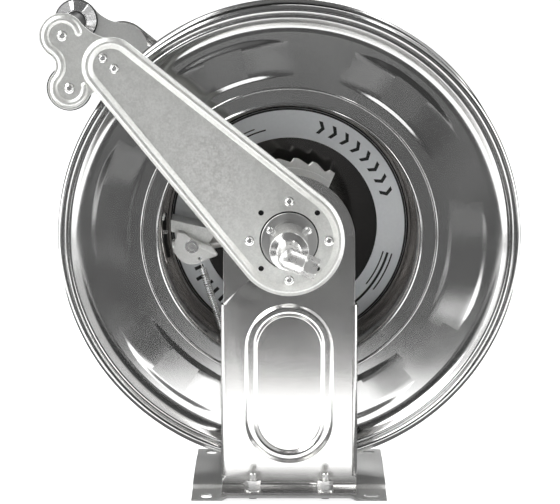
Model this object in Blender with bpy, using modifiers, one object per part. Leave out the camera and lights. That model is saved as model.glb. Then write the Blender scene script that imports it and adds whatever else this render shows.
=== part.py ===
"""Spring-rewind fire hose reel on two pedestals, with twin guide arms and a pair of hose rollers.

World frame: +Z up, X across, Y from the inlet side (front) to the spring side (rear).  The origin is on the
floor, under the middle of the reel's bounding box.  Most pieces are placed from the empty "reel_axis", which
lies on the drum's axis in the front pedestal's outer face: there local x and z are measured from the axis and
local y is the depth behind that face.
"""
import math

import bmesh
import bpy
from mathutils import Matrix, Vector

MM = 0.001
GAP = 0.3 * MM                      # clearance between touching pieces

# driving dimensions
AXIS_HEIGHT = 278 * MM
AXIS_X = 7.5 * MM
FRONT_FACE_Y = -58.25 * MM
FLANGE_RADIUS = 250 * MM
PLATE_SPAN = 230 * MM               # between the outer faces of the two pedestals
SHEET = 2.5 * MM                    # pedestal and bracket sheet
THIN_SHEET = 1.5 * MM               # flange, shell and case sheet
WIDE_STEPS = 36                     # facets round the flanges, shell and case

# base
BASE_WIDTH = 210 * MM
BASE_FRONT = -34 * MM               # depth behind the front face
BASE_REAR = 232 * MM
BASE_SHEET = 3 * MM
PLATFORM_LIFT = 4 * MM
FOOT_LENGTH = 49.5 * MM
JOGGLE = 9 * MM
FOOT_INNER_X = 75.5 * MM
JOGGLE_INNER_X = 64 * MM
FOOT_HOLE_X = 89 * MM
FOOT_HOLE_INSET = 17 * MM
BASE_BOLT_X = 39 * MM
BASE_BOLT_INSET = 24 * MM           # from a pedestal's outer face

# pedestals
PEDESTAL_WIDTH = 147 * MM
PEDESTAL_TOP_RADIUS = 70.5 * MM
RETURN_DEPTH = 18 * MM
RETURN_TOP_Z = -66 * MM
PEDESTAL_FLANGE = 33.5 * MM

# arms and roller brackets, as places in the plane across the axis
ARM_BIG_RADIUS = 59.5 * MM
ARM_SMALL_RADIUS = 31 * MM
ARM_END = Vector((-189.4, 187.0)) * MM
ARM_SHEET = 2 * MM
ARM_SECTION = ((1.0, 1.3), (1.0, 4.8), (2.4, 6.3), (6.0, 6.3), (10.5, 1.3))   # inset, height in mm
ARM_OPENING_RADIUS = 32 * MM
ARM_SCREW_CIRCLE = 42.5 * MM
ARM_SPARE_HOLE_RADIUS = 3 * MM
UPPER_ROLLER = Vector((-241.0, 219.0)) * MM
LOWER_ROLLER = Vector((-233.7, 163.4)) * MM
UPPER_LOBE_RADIUS = 24.4 * MM
LOWER_LOBE_RADIUS = 23 * MM
BRACKET_END_RADIUS = 29 * MM
BRACKET_SCREWS = (Vector((-198.0, 195.5)) * MM, Vector((-186.0, 184.4)) * MM)

# shaft line
SHAFT_RADIUS = 12.5 * MM
SHAFT_BORE = 8 * MM
HOUSING_FLANGE_RADIUS = 31 * MM
HOUSING_BOSS_RADIUS = 19 * MM
HOUSING_SCREW_CIRCLE = 23.4 * MM
RATCHET_DEPTH = 70.3 * MM
RATCHET_THICKNESS = 4 * MM
RATCHET_TIP_RADIUS = 80.8 * MM
RATCHET_ROOT_RADIUS = 76.3 * MM
RATCHET_HUB_RADIUS = 58 * MM
ARBOR_RADIUS = 14 * MM
ARBOR_END = 262 * MM

# inlet swivel, as depths from the front face
COLLAR_RADIUS = 20.5 * MM
COLLAR_BACK = -7 * MM
COLLAR_FRONT = -84 * MM
NECK_RADIUS = 11.6 * MM
NECK_BACK = -87 * MM
ELBOW_DEPTH = -133.8 * MM
ELBOW_HEADING = math.radians(-22)
TUBE_LENGTH = 17 * MM
ELBOW_REACH = 31 * MM
INLET_BORE = 5 * MM

# drum
FRONT_WEB = 40 * MM
REAR_WEB = 130 * MM
OPENING_RADIUS = 142.5 * MM
STEP_RADIUS = 160 * MM
SHELL_RADIUS = 141 * MM
LID_DEPTH = 129.1 * MM
LID_RADIUS = 157.5 * MM
CASE_RADIUS = 132 * MM
CASE_REAR = 198 * MM
LABEL_INNER = 97 * MM
LABEL_OUTER = 130 * MM
LABEL_FACE = LID_DEPTH - GAP - 0.8 * MM

# pawl
PAWL_PIVOT = Vector((-106.3, -16.5)) * MM
PAWL_PIN_RADIUS = 4 * MM
SPRING_POST = Vector((-71.0, -114.2)) * MM

STEEL = (0.62, 0.62, 0.60, 1.0)
COLOURS = {
    "satin_steel": (STEEL, 0.38, 1.0),
    "polished_steel": ((0.55, 0.55, 0.55, 1.0), 0.18, 1.0),
    "fastener_steel": ((0.70, 0.70, 0.68, 1.0), 0.25, 1.0),
    "cast_brass": ((0.66, 0.64, 0.58, 1.0), 0.25, 1.0),
    "spring_steel": ((0.35, 0.35, 0.36, 1.0), 0.35, 1.0),
    "label_print": ((0.75, 0.76, 0.77, 1.0), 0.45, 0.3),
    "black_plastic": ((0.02, 0.02, 0.02, 1.0), 0.45, 0.0),
    "seal_rubber": ((0.01, 0.01, 0.01, 1.0), 0.7, 0.0),
}


# ---------------------------------------------------------------- scene helpers

def clear_scene():
    for obj in list(bpy.data.objects):
        bpy.data.objects.remove(obj, do_unlink=True)


def new_collection(name):
    collection = bpy.data.collections.new(name)
    bpy.context.scene.collection.children.link(collection)
    return collection


def material(name):
    found = bpy.data.materials.get(name)
    if found:
        return found
    colour, roughness, metallic = COLOURS[name]
    made = bpy.data.materials.new(name)
    made.use_nodes = True
    shader = made.node_tree.nodes["Principled BSDF"]
    shader.inputs["Base Color"].default_value = colour
    shader.inputs["Roughness"].default_value = roughness
    shader.inputs["Metallic"].default_value = metallic
    return made


def empty(name, location, parent=None):
    obj = bpy.data.objects.new(name, None)
    PARTS.objects.link(obj)
    obj.location = location
    obj.parent = parent
    return obj


def mesh_object(name, bm, parent, finish, location=(0, 0, 0)):
    mesh = bpy.data.meshes.new(name)
    bm.to_mesh(mesh)
    bm.free()
    return place(bpy.data.objects.new(name, mesh), parent, finish, location)


def place(obj, parent, finish, location=(0, 0, 0), collection=None):
    (collection or PARTS).objects.link(obj)
    obj.parent = parent
    obj.location = location
    if finish:
        obj.data.materials.append(material(finish))
    return obj


def flat_box(name, low, high, parent, finish=None, collection=None):
    bm = bmesh.new()
    bmesh.ops.create_cube(bm, size=1.0)
    size = [b - a for a, b in zip(low, high)]
    middle = [(a + b) / 2 for a, b in zip(low, high)]
    bmesh.ops.scale(bm, verts=bm.verts, vec=size)
    bmesh.ops.translate(bm, verts=bm.verts, vec=middle)
    mesh = bpy.data.meshes.new(name)
    bm.to_mesh(mesh)
    bm.free()
    return place(bpy.data.objects.new(name, mesh), parent, finish, collection=collection)


def rod(name, start, end, radius, parent, finish=None, collection=None, sides=24, turn=0.0):
    """A straight round (or, with few sides, polygonal) bar between two points."""
    start, end = Vector(start), Vector(end)
    along = end - start
    bm = bmesh.new()
    bmesh.ops.create_cone(bm, cap_ends=True, segments=sides, radius1=radius, radius2=radius, depth=along.length)
    spin = along.to_track_quat("Z", "Y").to_matrix().to_4x4() @ Matrix.Rotation(turn, 4, "Z")
    bmesh.ops.transform(bm, verts=bm.verts, matrix=Matrix.Translation((start + end) / 2) @ spin)
    mesh = bpy.data.meshes.new(name)
    bm.to_mesh(mesh)
    bm.free()
    return place(bpy.data.objects.new(name, mesh), parent, finish, collection=collection)


def boolean(obj, tool, operation):
    tool.hide_render = True
    tool.display_type = "WIRE"
    modifier = obj.modifiers.new(operation.title(), "BOOLEAN")
    modifier.operation = operation
    modifier.object = tool
    return obj


def apply_modifiers(obj):
    """Replace an object's mesh by its evaluated one."""
    bpy.context.view_layer.update()
    evaluated = obj.evaluated_get(bpy.context.evaluated_depsgraph_get())
    mesh = bpy.data.meshes.new_from_object(evaluated)
    obj.modifiers.clear()
    obj.data = mesh
    return obj


def join_by_union(obj, others):
    for other in others:
        boolean(obj, other, "UNION")
    apply_modifiers(obj)
    for other in others:
        bpy.data.objects.remove(other, do_unlink=True)
    return obj


def cut_away(obj, tools):
    for tool in tools:
        boolean(obj, tool, "DIFFERENCE")
    apply_modifiers(obj)
    for tool in tools:
        bpy.data.objects.remove(tool, do_unlink=True)
    return obj


# ---------------------------------------------------------------- outlines

def arc(centre, radius, start, end, steps):
    """Points on an arc, from one angle to another in degrees, anticlockwise from +x."""
    points = []
    for i in range(steps + 1):
        angle = math.radians(start + (end - start) * i / steps)
        points.append(Vector((centre[0] + radius * math.cos(angle), centre[1] + radius * math.sin(angle))))
    return points


def circle(centre, radius, steps=16):
    return arc(centre, radius, 0, 360, steps)[:-1]


def slot(centre, length, width, along_x, steps=8):
    half = (length - width) / 2
    shift = Vector((half, 0)) if along_x else Vector((0, half))
    first = 0 if not along_x else -90
    centre = Vector(centre)
    return (arc(centre + shift, width / 2, first, first + 180, steps)
            + arc(centre - shift, width / 2, first + 180, first + 360, steps))


def signed_area(points):
    total = 0.0
    for a, b in zip(points, points[1:] + points[:1]):
        total += a[0] * b[1] - b[0] * a[1]
    return total / 2


def plate(name, outline, holes, depth, thickness, parent, finish):
    """A flat plate across the Y axis: outlines are (x, z), depth is its front face."""
    curve = bpy.data.curves.new(name, "CURVE")
    curve.dimensions = "2D"
    curve.fill_mode = "BOTH"
    curve.extrude = thickness / 2
    for points in [outline] + list(holes):
        spline = curve.splines.new("POLY")
        spline.points.add(len(points) - 1)
        for spot, point in zip(spline.points, points):
            spot.co = (point[0], point[1], 0, 1)
        spline.use_cyclic_u = True
    obj = place(bpy.data.objects.new(name, curve), parent, finish, (0, depth + thickness / 2, 0))
    obj.rotation_euler = (math.pi / 2, 0, 0)
    return obj


def as_mesh(obj):
    """Turn a curve plate into a welded mesh with the same name and place."""
    bpy.context.view_layer.update()
    evaluated = obj.evaluated_get(bpy.context.evaluated_depsgraph_get())
    mesh = bpy.data.meshes.new_from_object(evaluated)
    bm = bmesh.new()
    bm.from_mesh(mesh)
    bmesh.ops.remove_doubles(bm, verts=bm.verts, dist=0.00001)
    bmesh.ops.recalc_face_normals(bm, faces=bm.faces)
    bm.to_mesh(mesh)
    bm.free()
    name, parent, finish = obj.name, obj.parent, obj.data.materials[0]
    world = obj.matrix_world.copy()
    bpy.data.objects.remove(obj, do_unlink=True)
    made = bpy.data.objects.new(name, mesh)
    PARTS.objects.link(made)
    made.parent = parent
    made.matrix_world = world
    if not mesh.materials:
        mesh.materials.append(finish)
    return made


# ---------------------------------------------------------------- turned pieces

def sheet_section(points, thickness):
    """Close a bent sheet's middle line, given as (radius, depth), into a section of even thickness."""
    points = [Vector(p) for p in points]
    front, back = [], []
    for i, point in enumerate(points):
        before = (point - points[i - 1]).normalized() if i else None
        after = (points[i + 1] - point).normalized() if i < len(points) - 1 else None
        tangent = ((before or after) + (after or before)).normalized()
        normal = Vector((-tangent.y, tangent.x))
        lean = normal.dot(Vector((-(after or before).y, (after or before).x)))
        offset = normal * (thickness / 2 / lean)
        front.append(point + offset)
        back.append(point - offset)
    return front + back[::-1]


def turned(name, section, parent, finish, steps=40, location=(0, 0, 0)):
    """Spin a closed section of (radius, depth) round the Y axis."""
    section = [Vector(p) for p in section]
    if signed_area(section) > 0:
        section.reverse()
    solid = min(p[0] for p in section) < 1e-9
    if solid:
        first = next(i for i, p in enumerate(section) if p[0] < 1e-9 and section[i - 1][0] < 1e-9)
        section = section[first:] + section[:first]
    mesh = bpy.data.meshes.new(name)
    edges = [(i, i + 1) for i in range(len(section) - 1)]
    if not solid:
        edges.append((len(section) - 1, 0))
    mesh.from_pydata([(p[0], 0, p[1]) for p in section], edges, [])
    obj = place(bpy.data.objects.new(name, mesh), parent, finish, location)
    obj.rotation_euler = (-math.pi / 2, 0, 0)
    screw = obj.modifiers.new("Screw", "SCREW")
    screw.steps = screw.render_steps = steps
    screw.use_merge_vertices = True
    screw.merge_threshold = 0.00001
    screw.use_smooth_shade = False
    return obj


def ring(name, inner, outer, front, back, parent, finish, steps=32, location=(0, 0, 0)):
    section = [(inner, front), (outer, front), (outer, back), (inner, back)]
    return turned(name, section, parent, finish, steps, location)


# ---------------------------------------------------------------- fasteners

def button_screw(name, place_xz, head_face, shank_end, head_radius, shank_radius, parent):
    """A domed screw along Y; its head sits on head_face and its shank runs to shank_end."""
    side = 1 if shank_end > head_face else -1
    height = head_radius * 0.62
    under_head = head_face - side * GAP
    section = [(0, shank_end), (shank_radius, shank_end), (shank_radius, under_head), (head_radius, under_head),
               (head_radius * 0.93, head_face - side * height * 0.5),
               (head_radius * 0.62, head_face - side * height * 0.88), (0, head_face - side * height)]
    return turned(name, section, parent, "fastener_steel", 10, (place_xz[0], 0, place_xz[1]))


def hex_nut(name, centre, start, end, across_flats, bore, parent, along="Y"):
    """A hexagonal nut along Y or Z between two coordinates, with a washer face at its start."""
    corner = across_flats / math.sqrt(3)
    direction = Vector((0, 1, 0)) if along == "Y" else Vector((0, 0, 1))
    centre = Vector(centre)
    reach = (end - start) * 0.1
    bore_sides = 16
    bore_corner = bore / math.cos(math.pi / bore_sides)
    body = rod(name, centre + direction * start, centre + direction * end, corner, parent, "fastener_steel",
               sides=6, turn=math.pi / 6)
    hole = rod("nut_bore", centre + direction * (start - reach), centre + direction * (end + reach), bore_corner,
               parent, sides=bore_sides)
    return cut_away(body, [hole])


# ---------------------------------------------------------------- frame

def base_height(x, depth):
    """Height of the base sheet's middle: four pressed-down feet round a raised platform."""
    edge = min(depth - BASE_FRONT, BASE_REAR - depth)
    along = min(max((edge - FOOT_LENGTH) / JOGGLE, 0.0), 1.0)
    across = min(max((FOOT_INNER_X - abs(x)) / (FOOT_INNER_X - JOGGLE_INNER_X), 0.0), 1.0)
    return BASE_SHEET / 2 + PLATFORM_LIFT * max(along, across)


def make_base(parent):
    half = BASE_WIDTH / 2
    columns = [-half, -FOOT_INNER_X, -JOGGLE_INNER_X, JOGGLE_INNER_X, FOOT_INNER_X, half]
    rows = [BASE_FRONT, BASE_FRONT + FOOT_LENGTH, BASE_FRONT + FOOT_LENGTH + JOGGLE,
            BASE_REAR - FOOT_LENGTH - JOGGLE, BASE_REAR - FOOT_LENGTH, BASE_REAR]
    bm = bmesh.new()
    bmesh.ops.create_grid(bm, x_segments=len(columns) - 1, y_segments=len(rows) - 1, size=0.5)
    for vert in bm.verts:
        x = columns[round((vert.co.x + 0.5) * (len(columns) - 1))]
        depth = rows[round((vert.co.y + 0.5) * (len(rows) - 1))]
        vert.co = (x, depth, base_height(x, depth))
    base = mesh_object("base_plate", bm, parent, "satin_steel", (0, 0, -AXIS_HEIGHT))
    solidify = base.modifiers.new("Solidify", "SOLIDIFY")
    solidify.thickness = BASE_SHEET
    solidify.offset = 0
    cutters = []
    for depth in (BASE_FRONT + FOOT_HOLE_INSET, BASE_REAR - FOOT_HOLE_INSET):
        for side, along_x, length, width in ((-1, False, 21 * MM, 12 * MM), (1, True, 18 * MM, 11 * MM)):
            outline = slot((side * FOOT_HOLE_X, depth), length, width, along_x)
            cutters.append(upright_cutter(outline, parent))
    for depth in base_bolt_depths():
        for side in (-1, 1):
            hole = circle((side * BASE_BOLT_X, depth), 4.4 * MM, 12)
            cutters.append(upright_cutter(hole, parent))
    return cut_away(base, cutters)


def upright_cutter(outline, parent):
    """A prism through the base, from an (x, depth) outline."""
    bm = bmesh.new()
    low, high = -AXIS_HEIGHT - 5 * MM, -AXIS_HEIGHT + 20 * MM
    face = bm.faces.new([bm.verts.new((p[0], p[1], low)) for p in outline])
    lifted = bmesh.ops.extrude_face_region(bm, geom=[face])["geom"]
    top = [v for v in lifted if isinstance(v, bmesh.types.BMVert)]
    bmesh.ops.translate(bm, verts=top, vec=(0, 0, high - low))
    bmesh.ops.recalc_face_normals(bm, faces=bm.faces)
    mesh = bpy.data.meshes.new("cutter")
    bm.to_mesh(mesh)
    bm.free()
    return place(bpy.data.objects.new("cutter", mesh), parent, None, collection=CUTTERS)


def base_bolt_depths():
    return (-BASE_BOLT_INSET, PLATE_SPAN - BASE_BOLT_INSET)


def make_pedestal(name, outer_face, inward, parent):
    """A pedestal plate with rounded top, side returns towards the drum and a bolted foot towards the front."""
    half = PEDESTAL_WIDTH / 2 - 0.5 * MM
    foot_z = -AXIS_HEIGHT + PLATFORM_LIFT + BASE_SHEET + GAP
    outline = [Vector((-half, foot_z)), Vector((half, foot_z)), Vector((half, RETURN_TOP_Z))]
    outline += arc((0, 0), PEDESTAL_TOP_RADIUS, -12, 192, 28)
    outline += [Vector((-half, RETURN_TOP_Z))]
    holes = [circle((0, 0), HOUSING_BOSS_RADIUS + 2 * GAP, 24)]
    holes += [circle(p, 3.4 * MM, 12) for p in arm_screw_places()]
    holes += [circle(p, 2.9 * MM, 10) for p in housing_screw_places()]
    front = min(outer_face, outer_face + inward * SHEET)
    body = as_mesh(plate(name, outline, holes, front, SHEET, parent, "satin_steel"))
    pieces = []
    wide = PEDESTAL_WIDTH / 2
    deep = outer_face + inward * RETURN_DEPTH
    for side in (-1, 1):
        x0, x1 = sorted((side * wide, side * (wide - SHEET)))
        low = (x0, min(outer_face, deep), foot_z + 12 * MM)
        high = (x1, max(outer_face, deep), RETURN_TOP_Z - 4 * MM)
        pieces.append(flat_box("side_return", low, high, parent))
    y0, y1 = outer_face - PEDESTAL_FLANGE, outer_face
    if inward < 0:
        y1 = outer_face - SHEET / 2
    else:
        y1 = outer_face + SHEET / 2
    pieces.append(flat_box("foot_flange", (-half + 0.5 * MM, y0, foot_z),
                           (half - 0.5 * MM, y1, foot_z + SHEET), parent))
    join_by_union(body, pieces)
    bolts = []
    for side in (-1, 1):
        depth = outer_face - BASE_BOLT_INSET
        start = (side * BASE_BOLT_X, depth, foot_z - 5 * MM)
        end = (side * BASE_BOLT_X, depth, foot_z + 8 * MM)
        bolts.append(rod("bolt_hole", start, end, 4.4 * MM, parent, sides=12))
    return cut_away(body, bolts)


def arm_screw_places():
    return [Vector((ARM_SCREW_CIRCLE * math.sin(a), ARM_SCREW_CIRCLE * math.cos(a)))
            for a in (0, math.pi / 2, math.pi, math.pi * 1.5)]


def housing_screw_places():
    return [Vector((HOUSING_SCREW_CIRCLE * math.sin(a), HOUSING_SCREW_CIRCLE * math.cos(a)))
            for a in (math.radians(-60), math.radians(60), math.pi)]


def arm_loop(inset, height):
    """The arm's outline, moved inwards: a round big end at the axis and a small end at ARM_END."""
    heading = math.degrees(math.atan2(ARM_END.y, ARM_END.x))
    lean = math.degrees(math.asin((ARM_BIG_RADIUS - ARM_SMALL_RADIUS) / ARM_END.length))
    big = arc((0, 0), ARM_BIG_RADIUS - inset, heading + 90 - lean, heading + 270 + lean, 18)
    small = arc(ARM_END, ARM_SMALL_RADIUS - inset, heading - 90 + lean, heading + 90 - lean, 10)
    return [Vector((p.x, height, p.y)) for p in big + small]


def make_arm(name, outer_face, outward, parent):
    """A pressed arm: a flat panel inside a raised border, bent from one sheet."""
    bm = bmesh.new()
    loops = []
    for inset, height in ARM_SECTION:
        depth = outer_face + outward * height * MM
        loops.append([bm.verts.new(p) for p in arm_loop(inset * MM, depth)])
    for outer, inner in zip(loops, loops[1:]):
        count = len(outer)
        for i in range(count):
            j = (i + 1) % count
            bm.faces.new((outer[i], outer[j], inner[j], inner[i]))
    panel_depth = loops[-1][0].co.y
    rims = [loops[-1]]
    holes = [(Vector((0, 0)), ARM_OPENING_RADIUS, 24)]
    holes += [(p, 3.4 * MM, 10) for p in arm_screw_places()]
    holes += [(p, 3.4 * MM, 10) for p in BRACKET_SCREWS]
    for quarter in range(4):
        angle = math.pi / 4 + quarter * math.pi / 2
        spare = Vector((ARM_SCREW_CIRCLE * math.cos(angle), ARM_SCREW_CIRCLE * math.sin(angle)))
        holes.append((spare, ARM_SPARE_HOLE_RADIUS, 8))
    for centre, radius, steps in holes:
        rims.append([bm.verts.new((p.x, panel_depth, p.y)) for p in circle(centre, radius, steps)])
    edges = []
    for rim in rims:
        for a, b in zip(rim, rim[1:] + rim[:1]):
            edges.append(bm.edges.get((a, b)) or bm.edges.new((a, b)))
    bmesh.ops.triangle_fill(bm, edges=edges, use_beauty=True)
    bmesh.ops.recalc_face_normals(bm, faces=bm.faces)
    arm = mesh_object(name, bm, parent, "satin_steel")
    solidify = arm.modifiers.new("Solidify", "SOLIDIFY")
    solidify.thickness = ARM_SHEET
    solidify.offset = 0
    solidify.use_even_offset = True
    return arm


def fillet_centre(first, first_radius, second, second_radius, fillet, left):
    """The centre of a hollow fillet that touches two circles from outside."""
    a, b = first_radius + fillet, second_radius + fillet
    between = second - first
    distance = between.length
    along = (a * a - b * b + distance * distance) / (2 * distance)
    aside = math.sqrt(a * a - along * along)
    direction = between / distance
    normal = Vector((-direction.y, direction.x)) * (1 if left else -1)
    return first + direction * along + normal * aside


def hollow(centre, radius, start_from, end_at, steps):
    """A hollow arc about centre, from the touching point of one circle to that of the next."""
    start = math.degrees(math.atan2(*(start_from - centre).yx))
    end = math.degrees(math.atan2(*(end_at - centre).yx))
    if end > start:
        end -= 360
    return arc(centre, radius, start, end, steps)


def bracket_outline():
    """Two lobes for the rollers and a root behind the arm's small end, joined by hollow fillets."""
    circles = ((UPPER_ROLLER, UPPER_LOBE_RADIUS, 13 * MM), (LOWER_ROLLER, LOWER_LOBE_RADIUS, 12 * MM),
               (ARM_END, BRACKET_END_RADIUS, 45 * MM))
    count = len(circles)
    fillets = []
    for i in range(count):
        centre, radius, fillet = circles[i]
        following, next_radius, _ = circles[(i + 1) % count]
        fillets.append(fillet_centre(centre, radius, following, next_radius, fillet, left=False))
    outline = []
    for i in range(count):
        centre, radius, fillet = circles[i]
        before = (fillets[i - 1] - centre)
        after = (fillets[i] - centre)
        start = math.degrees(math.atan2(before.y, before.x))
        end = math.degrees(math.atan2(after.y, after.x))
        if end < start:
            end += 360
        outline += arc(centre, radius, start, end, 12)
        outline += hollow(fillets[i], fillet, centre, circles[(i + 1) % count][0], 6)[1:-1]
    return outline


def make_roller_bracket(name, depth, parent):
    holes = [circle(UPPER_ROLLER, 4.4 * MM, 14), circle(LOWER_ROLLER, 4.4 * MM, 14)]
    holes += [circle(p, 3.4 * MM, 12) for p in BRACKET_SCREWS]
    return plate(name, bracket_outline(), holes, depth, SHEET, parent, "satin_steel")


def make_housing(parent):
    section = [(16.5 * MM, -3.3 * MM), (HOUSING_FLANGE_RADIUS, -3.3 * MM), (HOUSING_FLANGE_RADIUS, -GAP),
               (HOUSING_BOSS_RADIUS, -GAP), (HOUSING_BOSS_RADIUS, RATCHET_DEPTH - GAP),
               (16 * MM, RATCHET_DEPTH - GAP), (16 * MM, RATCHET_DEPTH + RATCHET_THICKNESS),
               (13.5 * MM, RATCHET_DEPTH + RATCHET_THICKNESS), (13.5 * MM, 24 * MM), (16.5 * MM, 24 * MM)]
    housing = apply_modifiers(turned("front_bearing_housing", section, parent, "satin_steel", 28))
    tools = []
    for spot in housing_screw_places():
        tools.append(rod("screw_hole", (spot.x, -8 * MM, spot.y), (spot.x, 3 * MM, spot.y), 2.9 * MM, parent,
                         sides=10))
    return cut_away(housing, tools)


def make_ratchet(parent):
    """A hub with a toothed sector; the steep side of each tooth faces anticlockwise from the front."""
    pitch = 15.0
    first_tip = 90 - 33.4
    end_angle = first_tip - 4.5
    outline = arc((0, 0), RATCHET_TIP_RADIUS, end_angle, first_tip - 1.0, 2)
    teeth = 8
    for tooth in range(teeth):
        tip = first_tip + pitch * tooth
        outline.append(Vector((math.cos(math.radians(tip)), math.sin(math.radians(tip)))) * RATCHET_TIP_RADIUS)
        root = tip + 2.4
        outline.append(Vector((math.cos(math.radians(root)), math.sin(math.radians(root)))) * RATCHET_ROOT_RADIUS)
        if tooth < teeth - 1:
            shoulder = tip + pitch - 3.5
            outline.append(Vector((math.cos(math.radians(shoulder)), math.sin(math.radians(shoulder))))
                           * RATCHET_TIP_RADIUS)
    last = first_tip + pitch * (teeth - 1) + 4
    outline += arc((0, 0), RATCHET_HUB_RADIUS, last + 4, end_angle - 6 + 360, 24)
    holes = [circle((0, 0), 16.4 * MM, 24)]
    return plate("ratchet_sector", outline, holes, RATCHET_DEPTH, RATCHET_THICKNESS, parent, "satin_steel")


def make_arbor_side(parent):
    """The fixed spring arbor, clamped in the rear pedestal, with its locking nut."""
    face = PLATE_SPAN
    arbor = [(0, 140 * MM), (ARBOR_RADIUS - 1 * MM, 140 * MM), (ARBOR_RADIUS, 141 * MM),
             (ARBOR_RADIUS, ARBOR_END - 1 * MM), (ARBOR_RADIUS - 1 * MM, ARBOR_END), (0, ARBOR_END)]
    turned("spring_arbor", arbor, parent, "fastener_steel", 24)
    inner = ARBOR_RADIUS + GAP + 0.1 * MM
    flange = [(inner, 208 * MM), (HOUSING_BOSS_RADIUS, 208 * MM), (HOUSING_BOSS_RADIUS, face + GAP),
              (HOUSING_FLANGE_RADIUS, face + GAP), (HOUSING_FLANGE_RADIUS, face + 3.3 * MM),
              (inner, face + 3.3 * MM)]
    turned("rear_arbor_flange", flange, parent, "satin_steel", 28)
    hex_nut("arbor_nut", (0, 0, 0), face + 3.7 * MM, face + 17 * MM, 40 * MM, inner, parent)


def make_arms_and_brackets(parent):
    make_arm("front_arm", 0, -1, parent)
    make_arm("rear_arm", PLATE_SPAN, 1, parent)
    make_roller_bracket("front_roller_bracket", 0, parent)
    make_roller_bracket("rear_roller_bracket", PLATE_SPAN - SHEET, parent)


def make_frame_fasteners(parent):
    panel = 2.3 * MM
    for side, face, inward in (("front", -panel, 1), ("rear", PLATE_SPAN + panel, -1)):
        for where, spot in zip(("top", "right", "bottom", "left"), arm_screw_places()):
            button_screw(f"arm_screw_{side}_{where}", spot, face, face + inward * 8 * MM, 5.3 * MM, 3 * MM, parent)
        for where, spot in zip(("upper", "lower"), BRACKET_SCREWS):
            button_screw(f"bracket_screw_{side}_{where}", spot, face, face + inward * 8 * MM, 5.3 * MM, 3 * MM,
                         parent)
    for number, spot in enumerate(housing_screw_places(), 1):
        button_screw(f"bearing_screw_{number}", spot, -3.3 * MM, 5 * MM, 4.4 * MM, 2.5 * MM, parent)
    for where, spot in (("upper", UPPER_ROLLER), ("lower", LOWER_ROLLER)):
        button_screw(f"roller_bolt_{where}", spot, 0, PLATE_SPAN + 9 * MM, 5.8 * MM, 4 * MM, parent)
        hex_nut(f"roller_nut_{where}", (spot.x, 0, spot.y), PLATE_SPAN + GAP, PLATE_SPAN + 6.8 * MM, 13 * MM,
                4.4 * MM, parent)
    deck = -AXIS_HEIGHT + PLATFORM_LIFT + BASE_SHEET
    for side, depth in zip(("front", "rear"), base_bolt_depths()):
        for hand, sign in (("left", -1), ("right", 1)):
            spot = Vector((sign * BASE_BOLT_X, depth))
            make_base_bolt(f"base_bolt_{side}_{hand}", spot, deck, parent)
            top = deck + GAP + SHEET
            hex_nut(f"base_nut_{side}_{hand}", (spot.x, spot.y, 0), top + 1.9 * MM, top + 11.9 * MM, 14.5 * MM,
                    4.4 * MM, parent, along="Z")


def make_base_bolt(name, spot, deck, parent):
    """A bolt with a flat head under the platform, standing up through the pedestal's foot."""
    head = deck - BASE_SHEET
    low = head - GAP - 2 * MM
    end = deck + 22.5 * MM
    section = [(0, low), (5.5 * MM, low), (6.5 * MM, head - GAP), (4 * MM, head - GAP), (4 * MM, end - 1 * MM),
               (3.2 * MM, end), (0, end)]
    bolt = turned(name, section, parent, "fastener_steel", 12, (spot.x, spot.y, 0))
    bolt.rotation_euler = (0, 0, 0)
    return bolt


# ---------------------------------------------------------------- drum

def rim_line(web, facing):
    """Middle line of a flange from its inner edge to its rolled rim, as (radius, depth)."""
    inner_face = web - facing * 2 * MM
    line = [(OPENING_RADIUS, inner_face), (STEP_RADIUS, inner_face), (STEP_RADIUS + 2.5 * MM, web),
            (224 * MM, web), (231 * MM, web + facing * 3.5 * MM), (237 * MM, web + facing * 9 * MM)]
    bead = 5.5 * MM
    centre_r = FLANGE_RADIUS - THIN_SHEET / 2 - bead
    centre_y = web + facing * 6 * MM
    for angle in (110, 65, 20, -25, -70):
        turn = math.radians(angle)
        line.append((centre_r + bead * math.cos(turn), centre_y + facing * bead * math.sin(turn)))
    return line


def make_flanges(parent):
    turned("front_flange", sheet_section(rim_line(FRONT_WEB, -1), THIN_SHEET), parent, "polished_steel", WIDE_STEPS)
    turned("rear_flange", sheet_section(rim_line(REAR_WEB, 1), THIN_SHEET), parent, "polished_steel", WIDE_STEPS)


def make_shell(parent):
    """The cylinder the hose winds on: lips at both ends lie against the flanges, a slot lets the hose out."""
    front = FRONT_WEB + 2 * MM + THIN_SHEET + GAP
    rear = REAR_WEB - 2 * MM - THIN_SHEET - GAP
    lip = SHELL_RADIUS + 6 * MM
    line = [(lip, front), (SHELL_RADIUS + 1.5 * MM, front), (SHELL_RADIUS, front + 1.5 * MM),
            (SHELL_RADIUS, rear - 1.5 * MM), (SHELL_RADIUS + 1.5 * MM, rear), (lip, rear)]
    shell = apply_modifiers(turned("drum_shell", sheet_section(line, THIN_SHEET), parent, "polished_steel", WIDE_STEPS))
    cutter = flat_box("hose_slot", (-160 * MM, 75 * MM, -42 * MM), (-120 * MM, 118 * MM, 8 * MM), parent)
    return cut_away(shell, [cutter])


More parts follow.
